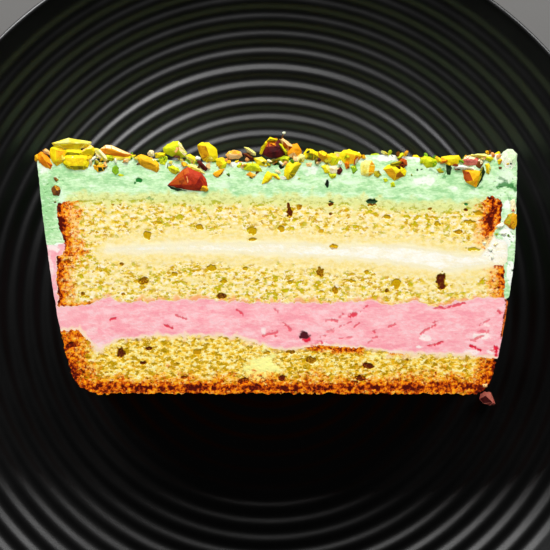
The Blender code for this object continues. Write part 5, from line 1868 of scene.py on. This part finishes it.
@dataclass
class Pistachios:
    """The chopped pistachios: pieces on the cut face, kernels behind them, and crumbs over the crown."""

    top: float
    crown: Object
    seed: int = 900
    crumb_seed: int = 950
    kernel_seed: int = 1100
    crown_seed: int = 1300
    bit_seed: int = 1400
    # Pixel columns of the picture: where bits lie, and where there are none.
    bit_span: tuple = (52, 498)
    bare_spans: tuple = ((364, 383), (408, 419))
    bit_count: int = 170
    # In millimetres: the smallest and the largest bit, and a piece strewn over the crown.
    bit_sizes: tuple = ((0.9, 0.6, 0.7), (2.2, 1.3, 1.2))
    crown_size: tuple = (2.4, 1.6, 1.3)
    # For each look on the crown, how far apart its pieces lie at least, in millimetres.
    crown_looks: tuple = (
        (Y.YELLOW, 7.0), (Y.PALE, 8.0), (Y.LIME, 9.0), (Y.HONEY, 11.0), (Y.GREEN, 12.0), (Y.SKIN, 14.0),
    )
    materials: dict = field(default_factory=dict)
    pieces: list = field(default_factory=list)

    def dress(self, look: NutLook) -> Material:
        """The material of a look, made once."""
        if look not in self.materials:
            self.materials[look] = look.material()
        return self.materials[look]

    def chips(self) -> list[Object]:
        """Makes the larger pieces; those that stand for a kernel are handed over, and the rest returned."""
        spare = []
        for number, chip in enumerate(KERNEL_CHIPS + LOOSE_CHIPS):
            node = f"kernel_{number + 1:02d}" if number < len(KERNEL_CHIPS) else ""
            shape = faceted(chip, self.top, self.seed + number)
            piece = nut_object("chopped_" + node if node else "chip", shape)
            for look in (chip.look, chip.other or chip.look):
                piece.data.materials.append(self.dress(look))
            if node:
                hand_over(piece, "pistachio", node)
                self.pieces.append(piece)
            else:
                spare.append(piece)
        return spare

    def kernels(self) -> None:
        """Makes a chopped piece for each CAD kernel that lies behind the cut face."""
        names = sorted(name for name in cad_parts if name.startswith("kernel_"))[len(KERNEL_CHIPS):]
        chance = np.random.default_rng(self.seed)
        looks = (Y.YELLOW, Y.LIME, Y.PALE, Y.SKIN, Y.YELLOW, Y.ORANGE, Y.OLIVE, Y.HONEY)
        for number, name in enumerate(names):
            low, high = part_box(name)
            middle, size = (low + high) / 2 / MM, (high - low) / MM
            shape = chopped((size.x, size.y, size.z), 5, self.kernel_seed + number)
            piece = nut_object("chopped_" + name, shape, tuple(middle), 0.0, tuple(chance.uniform(-8, 8, 2)))
            piece.data.materials.append(self.dress(looks[number % len(looks)]))
            hand_over(piece, "pistachio", name)
            self.pieces.append(piece)

    def crumbs(self) -> list[Object]:
        """Makes the small pieces that the picture shows."""
        chance = np.random.default_rng(self.seed + 1)
        things = []
        for number, nut in enumerate(NUTS):
            depth = nut.deep * nut.width + 0.4
            shape = chopped((nut.length, nut.width, depth), nut.cuts, self.crumb_seed + number)
            x, y = spot(nut.px, nut.py)
            height = self.top + nut.proud - depth * 0.42
            thing = nut_object("nut", shape, (x, y, height), nut.turn, tuple(chance.uniform(-12, 12, 2)))
            thing.data.materials.append(self.dress(nut.look))
            things.append(thing)
        return things + self.bits(chance)

    def bits(self, chance: np.random.Generator) -> list[Object]:
        """Makes the many small bits that fill the gaps along the crown's edge."""
        points = np.array([v.co[:] for v in self.crown.data.vertices]) / MM
        points = points[points[:, 2] > self.top - 0.3]
        looks = (Y.YELLOW, Y.LIME, Y.PALE, Y.YELLOW, Y.WHITE, Y.OLIVE, Y.HONEY, Y.GREEN, Y.PEACH, Y.BROWN)
        bare = [spot_span(*span) for span in self.bare_spans]
        things = []
        for number, x in enumerate(np.linspace(*spot_span(*self.bit_span), self.bit_count)):
            if any(low < x < high for low, high in bare):
                continue
            edge = points[np.abs(points[:, 0] - x) < 0.6, 1].max()
            size = chance.uniform(*self.bit_sizes)
            shape = chopped(tuple(size), 4, self.bit_seed + number, 2)
            place = (x, edge + chance.uniform(-1.3, 0.7), self.top + chance.uniform(-0.7, 0.3))
            thing = nut_object("bit", shape, place, chance.uniform(0, 180), tuple(chance.uniform(-25, 25, 2)))
            thing.data.materials.append(self.dress(looks[chance.integers(len(looks))]))
            things.append(thing)
        return things

    def strewing(self) -> NodeTree:
        """The tree that strews one shape over the crown, which is the wall that looks up the picture."""
        steps, start, end = geometry_tree("Strewing", Shape="Object", Apart="Float", Seed="Int", Top="Float",
                                          Material="Material")
        facing = steps.part(steps.add("GeometryNodeInputNormal").outputs[0], 1)
        below = steps.math("LESS_THAN", steps.part(steps.place(), 2), start.outputs["Top"])
        crown = steps.math("MULTIPLY", steps.math("GREATER_THAN", facing, 0.8), below)
        feeds = {
            "Mesh": start.outputs["Geometry"], "Selection": crown, "Distance Min": start.outputs["Apart"],
            "Density Max": 60000.0, "Seed": start.outputs["Seed"],
        }
        dots = steps.add("GeometryNodeDistributePointsOnFaces", feeds, distribute_method="POISSON").outputs[0]
        shape = steps.add("GeometryNodeObjectInfo", {"Object": start.outputs["Shape"]}).outputs["Geometry"]
        chance = "FunctionNodeRandomValue"
        turn = steps.add(chance, {1: (6.28, 6.28, 6.28)}, data_type="FLOAT_VECTOR").outputs[0]
        size = steps.add(chance, {2: 0.5, 3: 1.2, "Seed": 3}, data_type="FLOAT").outputs[1]
        feeds = {"Points": dots, "Instance": shape, "Rotation": turn, "Scale": size}
        steps.close(steps.add("GeometryNodeInstanceOnPoints", feeds).outputs[0], start, end)
        return steps.tree

    def strewn(self) -> list[Object]:
        """Makes the small pieces on the crown, a few of each look."""
        tree = self.strewing()
        things = []
        for number, (look, apart) in enumerate(self.crown_looks):
            form = nut_object("form", chopped(self.crown_size, 4, self.crown_seed + number, 1))
            thing = bpy.data.objects.new("strewn", self.crown.data.copy())
            bpy.context.scene.collection.objects.link(thing)
            grow(thing, tree, Shape=form, Apart=apart * MM, Seed=number, Top=self.top - 1.5,
                 Material=self.dress(look))
            bpy.data.objects.remove(form)
            things.append(thing)
        return things

    def build(self) -> list[Object]:
        """Makes all the pistachios and returns them."""
        self.kernels()
        piece = joined("pistachio_pieces", self.chips() + self.crumbs() + self.strewn())
        hand_over(piece, "pistachio")
        return self.pieces + [piece]


@dataclass(frozen=True)
class Lamp:
    """A soft rectangular light that faces the plate's middle.

    Its place and size are in millimetres and its power in watts.
    """

    name: str
    place: tuple[float, float, float]
    size: tuple[float, float]
    power: float
    only: str = ""

    def build(self, groups: dict[str, bpy.types.Collection]) -> None:
        """Adds the light; where it names a group of pieces, it lights only those."""
        data = bpy.data.lights.new(self.name, "AREA")
        data.shape = "RECTANGLE"
        data.size, data.size_y = self.size[0] * MM, self.size[1] * MM
        data.energy = self.power
        lamp = bpy.data.objects.new(self.name, data)
        lamp.location = Vector(self.place) * MM
        lamp.rotation_euler = (-lamp.location).to_track_quat("-Z", "Y").to_euler()
        bpy.context.scene.collection.objects.link(lamp)
        if self.only:
            lamp.light_linking.receiver_collection = groups[self.only]


class Studio:
    """The floor, the lights and the camera.

    The food has a soft fill of its own, which would turn the matte plate grey, and the plate has two low
    lights of its own for its ribs.
    """

    lamps = (
        Lamp("key", (0, 580, 370), (420, 260), 2.1),
        Lamp("key_cake", (0, 580, 370), (720, 260), 4.9, "food"),
        Lamp("fill", (0, 60, 720), (700, 700), 1.4, "food"),
        Lamp("front", (0, -620, 380), (900, 300), 1.3, "food"),
        Lamp("left_glow", (-430, 580, 265), (380, 350), 10.0, "plate"),
        Lamp("right_glow", (510, 505, 265), (240, 350), 4.2, "plate"),
    )
    world_light = 0.03
    floor_reach = 1500.0
    floor_pale = (205, 203, 200)
    floor_paler = (214, 212, 209)
    camera_plan = (1.94, 8.6)
    camera_height = 366.3
    lens = 85.0
    sensor = 36.0

    def floor(self) -> None:
        """A plain pale floor under the plate."""
        corners = np.array(((-1, -1, 0), (1, -1, 0), (1, 1, 0), (-1, 1, 0)), float) * self.floor_reach
        piece = new_object("studio_floor", corners, [[0, 1, 2, 3]])
        material, steps, shader = new_material("studio_floor")
        mottle = steps.cloud(steps.place(), 0.01, 2.0, 0.5)
        set_surface(shader, steps.blend(mottle, self.floor_pale, self.floor_paler), 0.8, 0.2)
        piece.data.materials.append(material)

    def build(self, plate: Object, food: list[Object]) -> None:
        """Sets up the picture.

        Args:
            plate: the plate.
            food: the rest of the pieces.
        """
        self.floor()
        groups = {}
        for name, pieces in (("food", food), ("plate", [plate])):
            groups[name] = bpy.data.collections.new(name)
            for piece in pieces:
                groups[name].objects.link(piece)
        for lamp in self.lamps:
            lamp.build(groups)
        world = bpy.data.worlds.new("studio")
        world.use_nodes = True
        background = world.node_tree.nodes["Background"]
        background.inputs[0].default_value = (1.0, 1.0, 1.0, 1.0)
        background.inputs[1].default_value = self.world_light
        bpy.context.scene.world = world
        camera = bpy.data.cameras.new("camera")
        camera.lens, camera.sensor_width = self.lens, self.sensor
        thing = bpy.data.objects.new("camera", camera)
        thing.location = Vector((*self.camera_plan, self.camera_height)) * MM
        bpy.context.scene.collection.objects.link(thing)
        bpy.context.scene.camera = thing
        bpy.context.scene.view_settings.view_transform = "Standard"


def main() -> None:
    """Builds every piece in order."""
    logging.basicConfig(level=logging.INFO, format="%(name)s: %(message)s")
    plate = Plate().build()
    food = Slab(Section()).build()
    food += Pistachios(top=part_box(Layer.CREAM.value)[1].z / MM, crown=food[0]).build()
    Studio().build(plate, food)


if __name__ == "__main__":
    main()
